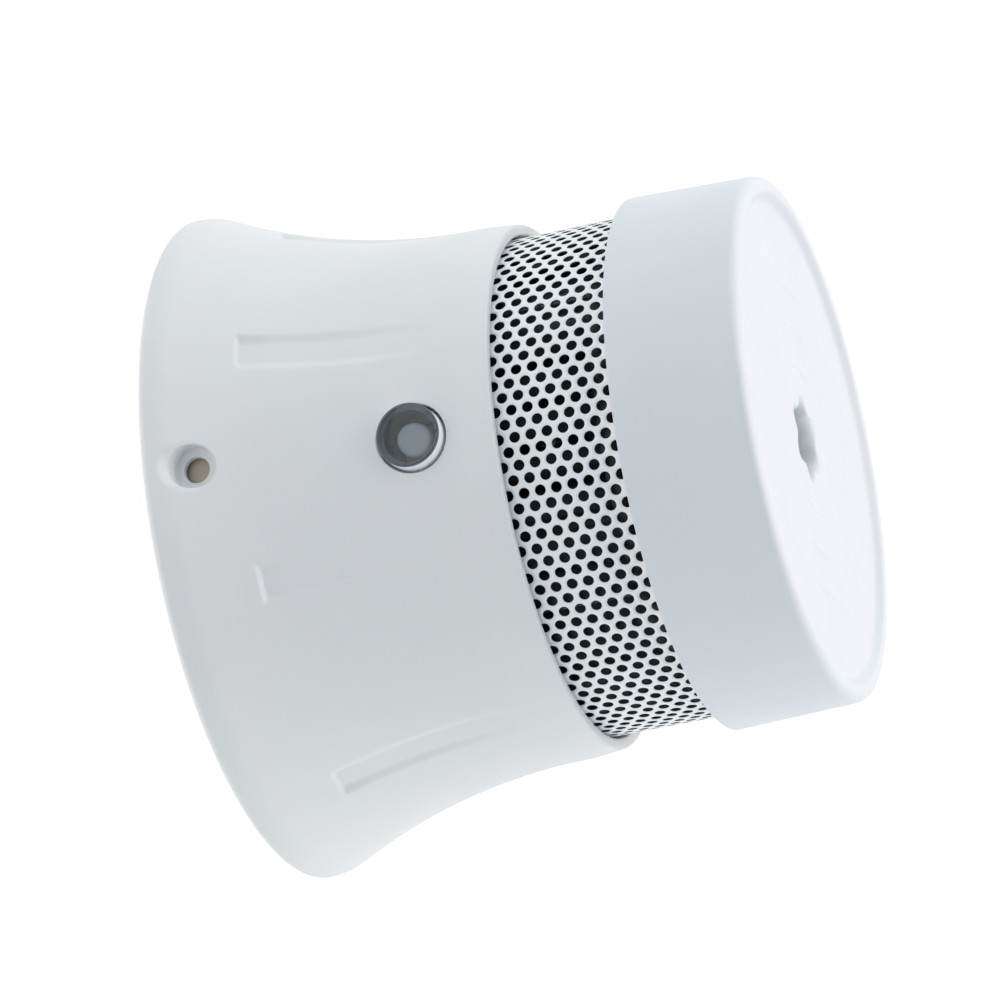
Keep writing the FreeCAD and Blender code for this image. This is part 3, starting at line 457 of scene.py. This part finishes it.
bell = Patchwork()
rows = []
for r, z in outer:
    rows.append(bell.add([outer_point(t, r, z) for t in theta]))
for i, (r, z) in enumerate(inner):
    rows.append(bell.add([((shelf_radius(t) if i in SHELF else r) * math.cos(t), (shelf_radius(t) if i in SHELF else r) * math.sin(t), z) for t in theta]))
NO = len(outer)
row_z = [p[1] for p in outer] + [p[1] for p in inner]


def block(z_lo, z_hi, half_x, inside):
    """Rows and columns of a rectangle of wall about the -Y side."""
    ids = range(NO, len(rows)) if inside else range(NO)
    use = [i for i in ids if z_lo - 1e-6 <= row_z[i] <= z_hi + 1e-6 and (inside or i < NO)]
    if inside:
        use = [i for i in use if i - NO >= inner_wall_first]
    radius = 25.3 if z_lo > 15 else 30.4
    half = half_x / radius
    cols = [j for j, t in enumerate(theta) if abs((t + pi / 2 + pi) % (2 * pi) - pi) <= half]
    return use, cols


def boundary(use, cols):
    """Vertex ids round the block, and their count, in one turning sense."""
    use = sorted(use, key=lambda i: row_z[i])
    loop = [rows[use[0]][j] for j in cols[:-1]]
    loop += [rows[i][cols[-1]] for i in use[:-1]]
    loop += [rows[use[-1]][j] for j in reversed(cols[1:])]
    loop += [rows[i][cols[0]] for i in reversed(use[1:])]
    return loop


WIN = (0.0, 24.84, 3.22)
LOCK = (0.0, 5.7)
w_out = block(19.9, 29.8, 5.3, False)
w_in = block(19.9, 26.4, 5.3, True)
l_out = block(2.3, 10.3, 4.6, False)
l_in = block(2.1, 9.95, 4.6, True)


def skip_cells(blocks):
    gone = set()
    for use, cols in blocks:
        use = sorted(use)
        for a, b in zip(use, use[1:]):
            if b == a + 1:
                for c, d in zip(cols, cols[1:]):
                    gone.add((a, c))
    return gone


gone = skip_cells([w_out, w_in, l_out, l_in])
for i in range(len(rows)):
    i2 = (i + 1) % len(rows)
    for j in range(NC):
        if (i, j) in gone:
            continue
        j2 = (j + 1) % NC
        bell.faces.append((rows[i][j], rows[i][j2], rows[i2][j2], rows[i2][j]))


def resample(ring_ids, count):
    return ring_ids


def surface_y(x, z, inside=False):
    r = r_in(z) if inside and z >= 5.4 else (29.4 if inside else r_out(z))
    if inside and 4.2 <= z < 5.4:
        r = 28.97
    elif inside and 3.2 <= z < 4.2:
        r = 28.97 + (29.4 - 28.97) * (4.2 - z)
    return -math.sqrt(r * r - x * x)


def angles_of(loop_ids, centre):
    return [math.atan2(bell.verts[i][2] - centre[1], bell.verts[i][0] - centre[0]) for i in loop_ids]


def rings_to(loop_ids, centre, radius_at, y_at, steps):
    """Rings that carry a block's edge in to a round (or nearly round) outline on the wall."""
    al = angles_of(loop_ids, centre)
    out = []
    for s in steps:
        ring = []
        for i, a in zip(loop_ids, al):
            bx, _, bz = bell.verts[i]
            cx, cz = centre[0] + radius_at(a) * math.cos(a), centre[1] + radius_at(a) * math.sin(a)
            x, z = bx + (cx - bx) * s, bz + (cz - bz) * s
            ring.append((x, y_at(x, z), z))
        out.append(ring)
    return out, al


def ring_at(al, centre, radius, y):
    return [(centre[0] + (radius(a) if callable(radius) else radius) * math.cos(a), y(a) if callable(y) else y,
             centre[1] + (radius(a) if callable(radius) else radius) * math.sin(a)) for a in al]


def join_loop(loop_ids, rings):
    ids = [loop_ids] + [bell.add(r) for r in rings]
    for a, b in zip(ids, ids[1:]):
        bell.bridge(a, b)
    return ids[-1]


def match(ring_a, ring_b):
    """Joins two rings of different counts that share one centre, walking both by share of the turn."""
    na, nb = len(ring_a), len(ring_b)
    pa = [math.atan2(bell.verts[i][2], bell.verts[i][0]) for i in ring_a]
    i = j = 0
    while i < na or j < nb:
        if j >= nb or (i < na and (i + 1) / na <= (j + 1) / nb):
            bell.faces.append((ring_a[i % na], ring_a[(i + 1) % na], ring_b[j % nb]))
            i += 1
        else:
            bell.faces.append((ring_b[j % nb], ring_a[i % na], ring_b[(j + 1) % nb]))
            j += 1


def rotate_to(ring_ids, al, start=-pi + 1e-3):
    """Turns a ring so that it starts at the same angle as its partner."""
    k = min(range(len(al)), key=lambda q: abs(((al[q] - start + pi) % (2 * pi)) - pi))
    return ring_ids[k:] + ring_ids[:k]


# Window: softly rounded mouth, straight wall.
E = 0.12
loop_o = boundary(*w_out)
mouth, al = rings_to(loop_o, WIN, lambda a: WIN[2] + E, lambda x, z: surface_y(x, z), (0.3, 0.55, 0.75, 0.9, 1.0))
edge_y = {round(a, 9): surface_y((WIN[2] + E) * math.cos(a), WIN[1] + (WIN[2] + E) * math.sin(a)) for a in al}
rings = list(mouth)
for deg in (22, 45, 68, 90):
    q = math.radians(deg)
    rings.append(ring_at(al, WIN, WIN[2] + E * (1 - math.sin(q)), lambda a, q=q: edge_y[round(a, 9)] + E * (1 - math.cos(q))))
rings.append(ring_at(al, WIN, WIN[2], -24.2))
last_o = join_loop(loop_o, rings)
loop_i = boundary(*w_in)
inner_rings, al_i = rings_to(loop_i, WIN, lambda a: WIN[2] + 0.05, lambda x, z: surface_y(x, z, True), (0.5, 1.0))
inner_rings.append(ring_at(al_i, WIN, WIN[2], lambda a: surface_y(WIN[2] * math.cos(a), WIN[1] + WIN[2] * math.sin(a), True) - 0.05))
last_i = join_loop(loop_i, inner_rings)
match(rotate_to(last_o, al), rotate_to(last_i, al_i))

# Tamper hole: countersunk lip where the flare swells past it, recess, flat floor, hole, boss inside.
REC, CONE_Y, FLOOR_Y, HOLE, BOSS, BOSS_Y = 2.04, -30.75, -28.7, 1.2, 2.9, -28.1


def lip_radius(a):
    """Where the 45 degree lip meets the wall in this direction, or the recess's own radius where it doesn't."""
    rad = REC
    for _ in range(40):
        y = surface_y(rad * math.cos(a), LOCK[1] + rad * math.sin(a))
        want = REC + max(0.0, (CONE_Y - y)) * 1.0
        rad += (want - rad) * 0.5
    return max(REC, rad)


loop_o = boundary(*l_out)
al = angles_of(loop_o, LOCK)
lip = {round(a, 9): lip_radius(a) for a in al}
e = 0.16
mouth, al = rings_to(loop_o, LOCK, lambda a: lip[round(a, 9)] + e, lambda x, z: surface_y(x, z), (0.35, 0.65, 0.85, 1.0))
rings = list(mouth)
rim_y = {round(a, 9): surface_y((lip[round(a, 9)] + e) * math.cos(a), LOCK[1] + (lip[round(a, 9)] + e) * math.sin(a)) for a in al}


def lip_point(a, share):
    """Down the lip from its rounded top (share 0) to the recess's wall (share 1)."""
    top = lip[round(a, 9)]
    y_top = rim_y[round(a, 9)] + 0.10
    y_low = max(CONE_Y + 0.05, y_top + 0.08)
    return top + (REC - top) * share, y_top + (y_low - y_top) * share


for share in (0.0, 0.35, 0.7, 1.0):
    rings.append(ring_at(al, LOCK, lambda a, s=share: lip_point(a, s)[0], lambda a, s=share: lip_point(a, s)[1]))
rings.append(ring_at(al, LOCK, REC - 0.02, FLOOR_Y - 0.1))
rings.append(ring_at(al, LOCK, REC - 0.18, FLOOR_Y))
rings.append(ring_at(al, LOCK, HOLE + 0.12, FLOOR_Y))
rings.append(ring_at(al, LOCK, HOLE + 0.03, FLOOR_Y + 0.03))
rings.append(ring_at(al, LOCK, HOLE, FLOOR_Y + 0.12))
rings.append(ring_at(al, LOCK, HOLE, BOSS_Y))
rings.append(ring_at(al, LOCK, 2.0, BOSS_Y))
last_o = join_loop(loop_o, rings)
loop_i = boundary(*l_in)
inner_rings, al_i = rings_to(loop_i, LOCK, lambda a: BOSS + 0.05, lambda x, z: surface_y(x, z, True), (0.5, 1.0))
inner_rings.append(ring_at(al_i, LOCK, BOSS, lambda a: max(BOSS_Y - 0.1, surface_y(BOSS * math.cos(a), LOCK[1] + BOSS * math.sin(a), True))))
inner_rings.append(ring_at(al_i, LOCK, BOSS - 0.1, BOSS_Y))
last_i = join_loop(loop_i, inner_rings)
match(rotate_to(last_o, al), rotate_to(last_i, al_i))

# Bosses, ribs and bayonet hooks inside the bell.
for a in (90, 210, 330):
    t = math.radians(a)
    cx, cy = 21.0 * math.cos(t), 21.0 * math.sin(t)
    ring = lambda rad, z: [(cx + rad * math.cos(q), cy + rad * math.sin(q), z) for q in np.linspace(0, 2 * pi, 33)[:-1]]
    ids = bell.tube([ring(1.05, 18.0), ring(1.05, 9.8), ring(1.2, 9.65), ring(2.25, 9.65), ring(2.4, 9.8), ring(2.4, 26.6)])
    bell.fan(ids[0], (cx, cy, 18.0))
    bell.fan(ids[-1], (cx, cy, 26.6))
    ux, uy = math.cos(t), math.sin(t)
    prof = [(22.6, 9.7), (r_in(9.7) + 0.6, 9.7), (r_in(14.0) + 0.6, 14.0), (r_in(19.0) + 0.6, 19.0), (r_in(24.0) + 0.6, 24.0), (r_in(26.3) + 0.6, 26.6), (22.6, 26.6)]
    sides = [[(r * ux - s * 0.6 * uy, r * uy + s * 0.6 * ux, z) for r, z in prof] for s in (-1, 1)]
    bell.tube(sides, close_ends=True)
    outline = [(25.5, t + q) for q in np.radians(np.linspace(-9, 9, 13))] + [(29.6, t + q) for q in np.radians(np.linspace(9, -9, 13))]
    low = [(r * math.cos(q), r * math.sin(q), 2.5) for r, q in outline]
    high = [(r * math.cos(q), r * math.sin(q), 4.1) for r, q in outline]
    bell.tube([low, high], close_ends=True)

bell_obj = make_object("bell_housing_moulded", bell.verts, bell.faces, housing_white, 38.0)
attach(bell_obj, "detector")
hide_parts("bell_housing")

# ------------------------------------------------------------------ perforated screen band

BAND_OUT, BAND_IN = 23.5, 23.3
COLS, PITCH, HOLE_R = 116, 1.508, 0.50
STEP = 2 * pi / COLS
PHASE_Z = 33.077
TURN0 = math.radians(-89.77)
EDGE_LO, EDGE_HI = 30.3, 44.9
half_step = STEP * BAND_OUT / 2
# corners of one lattice cell, about its hole, in (round, along) millimetres: a nearly regular hexagon
dx, dz = STEP * BAND_OUT, PITCH / 2
tip_x = (dx * dx + dz * dz) / (2 * dx)
in_x = dx - tip_x
CELL = [(tip_x, 0.0), (in_x, dz), (-in_x, dz), (-tip_x, 0.0), (-in_x, -dz), (in_x, -dz)]
PER_SIDE = 3
rim = []
for k in range(6):
    (ax, az), (bx, bz) = CELL[k], CELL[(k + 1) % 6]
    for q in range(PER_SIDE):
        rim.append((ax + (bx - ax) * q / PER_SIDE, az + (bz - az) * q / PER_SIDE))
rim_angle = [math.atan2(z, x) for x, z in rim]


def on_band(u, z, radius):
    """A point of the band: u millimetres round, measured at the outside, and height z."""
    t = u / BAND_OUT
    return (radius * math.cos(t), radius * math.sin(t), z)


band = Patchwork()
for c in range(COLS):
    u0 = c * STEP * BAND_OUT + TURN0 * BAND_OUT
    base = PHASE_Z + (PITCH / 2 if c % 2 else 0.0)
    first = math.ceil((EDGE_LO + 0.75 + dz - base) / PITCH)
    z0 = base + first * PITCH
    while z0 + dz <= EDGE_HI - 0.5:
        def circle(rad, radius):
            return [on_band(u0 + rad * math.cos(a), z0 + rad * math.sin(a), radius) for a in rim_angle]
        outer_edge = [on_band(u0 + x, z0 + z, BAND_OUT) for x, z in rim]
        inner_edge = [on_band(u0 + x, z0 + z, BAND_IN) for x, z in rim]
        band.tube([outer_edge, circle(HOLE_R + 0.03, BAND_OUT - 0.004), circle(HOLE_R, BAND_OUT - 0.034), circle(HOLE_R, BAND_IN), inner_edge])
        z0 += PITCH
    # plain margins above and below the perforated field
    z_first, z_last = base + first * PITCH, z0 - PITCH
    for radius in (BAND_OUT, BAND_IN):
        low = [on_band(u0 + x, z_first - dz, radius) for x in (-in_x, -in_x / 3, in_x / 3, in_x)]
        # points of the cell's lower side, in the same places as the lattice's
        low = [on_band(u0 + x, z_first + z, radius) for x, z in (rim[12], rim[13], rim[14], rim[15])]
        high = [on_band(u0 + x, z_last + z, radius) for x, z in (rim[6], rim[5], rim[4], rim[3])]
        for edge, z_end in ((low, EDGE_LO), (high, EDGE_HI)):
            a = band.add(edge)
            us = (rim[12][0], rim[13][0], rim[14][0], rim[15][0])
            b = band.add([on_band(u0 + x, z_end, radius) for x in us])
            band.bridge(a, b, closed=False)
    c2_base = PHASE_Z + (PITCH / 2 if (c + 1) % 2 else 0.0)
    first2 = math.ceil((EDGE_LO + 0.75 + dz - c2_base) / PITCH)
    zf2 = c2_base + first2 * PITCH
    zl2 = zf2
    while zl2 + PITCH + dz <= EDGE_HI - 0.5:
        zl2 += PITCH
    u1 = u0 + STEP * BAND_OUT
    for radius in (BAND_OUT, BAND_IN):
        # slanted sides of this column's end cells and the next column's, filled down to the straight edge
        for kind in ("low", "high"):
            if kind == "low":
                mine = [(u0 + rim[15 + q][0] if q < 3 else u0 + rim[0][0], (z_first + (rim[15 + q][1] if q < 3 else rim[0][1]))) for q in range(4)]
                other = [(u1 + rim[9 + q][0], zf2 + rim[9 + q][1]) for q in range(4)]
                mine_l, other_l, z_end = mine, other, EDGE_LO
                lower_first = z_first < zf2
            else:
                mine_l = [(u0 + rim[3 - q][0], z_last + rim[3 - q][1]) for q in range(4)]
                other_l = [(u1 + rim[9 - q][0], zl2 + rim[9 - q][1]) for q in range(4)]
                z_end = EDGE_HI
                lower_first = z_last > zl2
            path = mine_l if lower_first else other_l
            pts = path if lower_first else path
            a = band.add([on_band(u, z, radius) for u, z in pts])
            us = [u for u, _ in pts]
            b = band.add([on_band(u, z_end, radius) for u in us])
            band.bridge(a, b, closed=False)
# straight end rings between the two faces
weld = {}
for c in range(COLS):
    u0 = c * STEP * BAND_OUT + TURN0 * BAND_OUT
    us = [u0 + x for x in (rim[12][0], rim[13][0], rim[14][0], rim[15][0])]
    nxt = u0 + STEP * BAND_OUT + rim[12][0]
    c_first = PHASE_Z + (PITCH / 2 if c % 2 else 0.0)
    for z_end, side in ((EDGE_LO, "low"), (EDGE_HI, "high")):
        # the slanted side's feet depend on which column reaches further
        base_a = PHASE_Z + (PITCH / 2 if c % 2 else 0.0)
        base_b = PHASE_Z + (PITCH / 2 if (c + 1) % 2 else 0.0)
        fa = base_a + math.ceil((EDGE_LO + 0.75 + dz - base_a) / PITCH) * PITCH
        fb = base_b + math.ceil((EDGE_LO + 0.75 + dz - base_b) / PITCH) * PITCH
        la, lb = fa, fb
        while la + PITCH + dz <= EDGE_HI - 0.5:
            la += PITCH
        while lb + PITCH + dz <= EDGE_HI - 0.5:
            lb += PITCH
        mine_reaches = fa < fb if side == "low" else la > lb
        if mine_reaches:
            feet = [u0 + rim[(15 + q) % 18][0] for q in range(4)]
        else:
            feet = [u0 + STEP * BAND_OUT + rim[9 + q][0] for q in range(4)]
        run = us + feet[1:]
        if abs(run[-1] - nxt) > 1e-6:
            run.append(nxt)
        a = band.add([on_band(u, z_end, BAND_OUT) for u in run])
        b = band.add([on_band(u, z_end, BAND_IN) for u in run])
        band.bridge(a, b, closed=False)
band_obj = make_object("screen_band_perforated", band.verts, band.faces, band_white, 60.0)
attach(band_obj, "detector")
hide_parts("screen_band")
bm = bmesh.new()
bm.from_mesh(band_obj.data)
print("band open edges", sum(1 for e2 in bm.edges if len(e2.link_faces) != 2), "faces", len(bm.faces))
bm.free()
bm = bmesh.new()
bm.from_mesh(bell_obj.data)
print("bell open edges", sum(1 for e2 in bm.edges if len(e2.link_faces) != 2), "faces", len(bm.faces))
bm.free()

# ------------------------------------------------------------------ front cap

FACE_Z, CAP_TOP, CEIL = 54.85, 55.6, 53.3
RELIEF = ((6.65, 24.0), (10.65, 17.0), (14.45, 12.0))
LIP_DEEP = 2.0


def outlet_radius(t, share):
    """Six soft lobes round the sound outlet: nearly round in the throat (share 0), fuller at the face (share 1)."""
    return (3.05 + 0.26 * math.cos(6 * t)) * (1 - share) + (3.98 + 0.58 * math.cos(6 * t)) * share


def relief(t, r):
    """Faint raised arcs on both sides of the outlet."""
    h = 0.0
    off = math.degrees(min(abs((t + pi) % (2 * pi) - pi), abs(t % (2 * pi) - pi)))
    for rad, half in RELIEF:
        w = smooth01((r - (rad - 0.1)) / 0.25) * (1 - smooth01((r - (rad + 0.35)) / 0.25))
        if w > 0:
            h = max(h, w * (1 - smooth01((off - half + 0.8) / 1.4)))
    return 0.08 * h


cap_theta = list(np.linspace(0, 360, 361)[:-1])
for _, half in RELIEF:
    cap_theta += [a + s * (half + d) for a in (0, 180) for s in (-1, 1) for d in (-0.6, -0.4, -0.2, 0.2, 0.4, 0.6)]
cap_theta = sorted({round(v % 360, 4) for v in cap_theta})
cap_t = [math.radians(v) for v in cap_theta]
cap = Patchwork()
# rows: (kind, a, b): "o" is the outlet's outline at share a and height b, "c" is a circle of radius a at height b, "f" is the face at radius a
cap_rows = [("o", 0.0, 51.3), ("o", 0.0, 52.4)]
cap_rows += [("o", 1 - math.cos(q), FACE_Z - LIP_DEEP * (1 - math.sin(q))) for q in np.radians(np.linspace(0, 90, 11))]
cap_rows += [("m", 0.4, 0), ("m", 0.8, 0)]
face_r = [5.9, 6.3]
for rad, _ in RELIEF:
    face_r += [rad - 0.11, rad - 0.05, rad, rad + 0.05, rad + 0.1, rad + 0.16, rad + 0.25, rad + 0.34, rad + 0.4, rad + 0.46, rad + 0.52, rad + 0.61, rad + 1.6, rad + 2.8]
face_r += [18.5, 19.8, 20.8, 21.4, 21.9]
cap_rows += [("f", r, 0) for r in sorted(set(face_r))]
cap_rows += [("c", r, z) for r, z in [(22.1, FACE_Z + 0.01), (22.3, FACE_Z + 0.06), (22.55, FACE_Z + 0.25), (22.8, FACE_Z + 0.52), (22.98, FACE_Z + 0.68), (23.15, CAP_TOP - 0.01)]]
cap_rows += [("c", r, z) for r, z in [(23.3, CAP_TOP)] + arc_points(24.6 - 0.93, CAP_TOP - 0.93, 0.93, 0.93, 90, 2.0, 12)]
cap_rows += [("c", 24.6 + 0.4 * k / 12, 54.66 - 11.16 * k / 12) for k in range(1, 12)]
cap_rows += [("c", r, z) for r, z in arc_points(25.0 - 0.18, 43.32 + 0.18, 0.18, 0.18, 0, -90, 4)]
cap_rows += [("c", r, z) for r, z in [(24.3, 43.32), (23.78, 43.32), (23.65, 43.42), (23.65, 45.2), (23.0, 45.2), (23.0, 49.0), (23.0, CEIL), (14.0, CEIL), (5.4, CEIL), (5.4, 51.3), (5.2, 51.2)]]
cap_rows += [("o", 0.1, 51.2)]
rows_c = []
for kind, a, b in cap_rows:
    pts = []
    for t in cap_t:
        if kind == "o":
            r, z = outlet_radius(t, a), b
        elif kind == "m":
            r0 = outlet_radius(t, 1.0)
            r, z = r0 + (5.6 - r0) * a, FACE_Z
        elif kind == "f":
            r, z = a, FACE_Z + relief(t, a)
        else:
            r, z = a, b
        pts.append((r * math.cos(t), r * math.sin(t), z))
    rows_c.append(cap.add(pts))
for a, b in zip(rows_c, rows_c[1:] + rows_c[:1]):
    cap.bridge(a, b)
for sx in (-1, 1):
    for sy in (-1, 1):
        cx, cy = 13.1 * sx, 13.1 * sy
        ring = lambda rad, z: [(cx + rad * math.cos(q), cy + rad * math.sin(q), z) for q in np.linspace(0, 2 * pi, 37)[:-1]]
        ids = cap.tube([ring(1.05, 41.0), ring(1.05, 31.4), ring(1.2, 31.25), ring(2.05, 31.25), ring(2.2, 31.4), ring(2.2, 53.4)])
        cap.fan(ids[0], (cx, cy, 41.0))
        cap.fan(ids[-1], (cx, cy, 53.4))
cap_obj = make_object("front_cap_moulded", cap.verts, cap.faces, cap_white_painted_shade, 40.0)
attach(cap_obj, "detector")
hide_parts("front_cap")

# ------------------------------------------------------------------ clear test button

BTN_R, BTN_FRONT, BTN_BACK = 2.95, -26.4, -22.0


def lathe_y(name, profile, material, segments=96, sharp=40.0):
    """Turned about the button's axis. The profile is (radius, y) in millimetres and closes on itself or on the axis."""
    p = Patchwork()
    ids = []
    for r, y in profile:
        if r < 1e-6:
            ids.append(p.add([(0.0, y, 24.84)]))
        else:
            ids.append(p.add([(r * math.cos(q), y, 24.84 + r * math.sin(q)) for q in np.linspace(0, 2 * pi, segments + 1)[:-1]]))
    pairs = list(zip(ids, ids[1:]))
    if profile[0][0] > 1e-6:
        pairs.append((ids[-1], ids[0]))
    for a, b in pairs:
        if len(a) == 1 and len(b) == 1:
            continue
        if len(a) == 1 or len(b) == 1:
            ring, tip = (b, a[0]) if len(a) == 1 else (a, b[0])
            for k in range(len(ring)):
                p.faces.append((ring[k], ring[(k + 1) % len(ring)], tip))
        else:
            p.bridge(a, b)
    return make_object(name, p.verts, p.faces, material, sharp)


# a clear window set in a frosted sleeve
prof = [(0.0, BTN_FRONT), (1.4, BTN_FRONT), (2.64, BTN_FRONT), (2.73, BTN_FRONT + 0.03), (2.78, BTN_FRONT + 0.09)]
prof += [(2.78, BTN_FRONT + 0.5), (2.78, -25.52), (2.74, -25.5), (1.4, -25.5), (0.0, -25.5)]
button_obj = lathe_y("test_button_lens", prof, acrylic)
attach(button_obj, "test_button")
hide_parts("test_button")
# the sleeve's inside and front face carry painted shade from its material
prof = [(2.79, -26.27), (2.92, -26.27), (BTN_R, -26.24), (BTN_R, -25.0), (BTN_R, BTN_BACK - 0.1), (BTN_R - 0.1, BTN_BACK), (1.85, BTN_BACK)]
prof += [(1.8, BTN_BACK - 0.05), (1.8, -22.35), (1.85, -22.4), (2.36, -22.4), (2.36, -25.47), (2.79, -25.47)]
sleeve_obj = lathe_y("test_button_sleeve", prof, sleeve_white_painted_shade)
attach(sleeve_obj, "test_button")

guide = Patchwork()
guide.box((-4.0, -22.7, 22.0), (-3.02, -22.0, 27.7))
guide.box((3.02, -22.7, 22.0), (4.0, -22.0, 27.7))
guide.box((-2.9, -21.98, 23.34), (-2.05, -17.3, 26.34))
guide.box((2.05, -21.98, 23.34), (2.9, -17.3, 26.34))
guide.box((-2.03, -18.1, 23.34), (2.03, -17.3, 26.34))
guide_obj = make_object("test_button_arms", guide.verts, guide.faces, acrylic, 30.0)
bev = guide_obj.modifiers.new("soft_edges", "BEVEL")
bev.width, bev.segments = 0.00012, 2
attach(guide_obj, "test_button")

# ------------------------------------------------------------------ lamp

# Flat-ended lamp with a small round at its edge, a flange and two bent leads.
prof = [(0.0, -24.5), (0.7, -24.495), (1.2, -24.475), (1.38, -24.44), (1.47, -24.37), (1.5, -24.27), (1.5, -19.62), (1.52, -19.6), (1.7, -19.6), (1.7, -18.82), (1.68, -18.8), (0.0, -18.8)]
lamp_obj = lathe_y("indicator_led_lens", prof, led_lens)
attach(lamp_obj, "detector")
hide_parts("indicator_led")
lead = Patchwork()
lead.box((-0.9, -18.95, 24.84), (-0.45, -18.45, 27.95))
lead.box((0.45, -18.95, 24.84), (0.9, -18.45, 27.95))
lead_obj = make_object("indicator_led_leads", lead.verts, lead.faces, nickel, 30.0)
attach(lead_obj, "detector")

# ------------------------------------------------------------------ floor, light, camera

floor_mesh = bpy.data.meshes.new("floor")
floor_mesh.from_pydata([(-20, -20, -0.0001), (20, -20, -0.0001), (20, 20, -0.0001), (-20, 20, -0.0001)], [], [(0, 1, 2, 3)])
floor = bpy.data.objects.new("floor", floor_mesh)
bpy.context.scene.collection.objects.link(floor)
g = Graph("floor_pale")
g.set(Roughness=1.0)
g.set(**{"Base Color": (0.12, 0.12, 0.12, 1), "Specular IOR Level": 0.0, "Emission Color": (1, 1, 1, 1), "Emission Strength": 0.92})
floor_mesh.materials.append(g.m)

AZ, EL, ROLL = math.radians(16.4), math.radians(15.4), math.radians(11.43)
back = Vector((math.sin(AZ) * math.cos(EL), -math.cos(AZ) * math.cos(EL), math.sin(EL)))
W = Vector((math.cos(AZ), math.sin(AZ), 0.0))
U = (Vector((0, 0, 1)) - back * back.z).normalized()
cam_x = (U * math.cos(ROLL) + W * math.sin(ROLL)).normalized()
cam_y = (U * math.sin(ROLL) - W * math.cos(ROLL)).normalized()
target = Vector((0, 0, 0.02507)) - W * 0.000112
cam_data = bpy.data.cameras.new("camera")
cam = bpy.data.objects.new("camera", cam_data)
bpy.context.scene.collection.objects.link(cam)
cam_data.sensor_width = 36.0
cam_data.lens = 198.0
cam_data.clip_start, cam_data.clip_end = 0.01, 100.0
loc = target + back * 0.5121
cam.matrix_world = Matrix(((cam_x.x, cam_y.x, back.x, loc.x), (cam_x.y, cam_y.y, back.y, loc.y), (cam_x.z, cam_y.z, back.z, loc.z), (0, 0, 0, 1)))
bpy.context.scene.camera = cam

world = bpy.data.worlds.new("studio")
bpy.context.scene.world = world
world.use_nodes = True
wt = world.node_tree
bg = wt.nodes["Background"]
tc = wt.nodes.new("ShaderNodeTexCoord")


def world_dot(vec):
    d = wt.nodes.new("ShaderNodeVectorMath")
    d.operation = "DOT_PRODUCT"
    d.inputs[1].default_value = vec
    wt.links.new(tc.outputs["Generated"], d.inputs[0])
    return d.outputs["Value"]


def world_term(source, lo, hi, colour):
    """A soft step of a direction measure, carried to a colour."""
    m = wt.nodes.new("ShaderNodeMapRange")
    m.interpolation_type = "SMOOTHSTEP"
    m.inputs["From Min"].default_value = lo
    m.inputs["From Max"].default_value = hi
    wt.links.new(source, m.inputs["Value"])
    s = wt.nodes.new("ShaderNodeVectorMath")
    s.operation = "SCALE"
    s.inputs[0].default_value = colour
    wt.links.new(m.outputs["Result"], s.inputs["Scale"])
    return s.outputs["Vector"]


# a light tent: brightest overhead, even at the sides, with a broad opening on the camera's side
dark_dir = Vector((math.sin(AZ + 0.19) * math.cos(0.05), -math.cos(AZ + 0.19) * math.cos(0.05), math.sin(0.05)))
terms = [
    world_term(world_dot((0, 0, 1)), 0.2, 0.95, (0.099, 0.147, 0.266)),
    world_term(world_dot((0, 0, 1)), 0.75, 1.0, (2.22, 1.79, 1.32)),
    world_term(world_dot(tuple(-dark_dir)), -0.69, -0.1, (0.723, 0.688, 0.678)),
    world_term(world_dot(tuple(-W)), 0.1, 0.95, (0.18, 0.306, 0.302)),
    world_term(world_dot(tuple(W)), 0.1, 0.95, (0.175, 0.286, 0.281)),
    # plain white where the camera looks past the edge of the floor
    world_term(wt.nodes.new("ShaderNodeLightPath").outputs["Is Camera Ray"], 0.0, 1.0, (1.0, 1.0, 1.0)),
]
total = None
for term in terms:
    add = wt.nodes.new("ShaderNodeVectorMath")
    add.operation = "ADD"
    if total is None:
        add.inputs[0].default_value = (0.07, 0.11, 0.15)
    else:
        wt.links.new(total, add.inputs[0])
    wt.links.new(term, add.inputs[1])
    total = add.outputs["Vector"]
wt.links.new(total, bg.inputs["Color"])
bg.inputs["Strength"].default_value = 1.0

bpy.context.scene.view_settings.view_transform = "Standard"
bpy.context.scene.view_settings.look = "None"
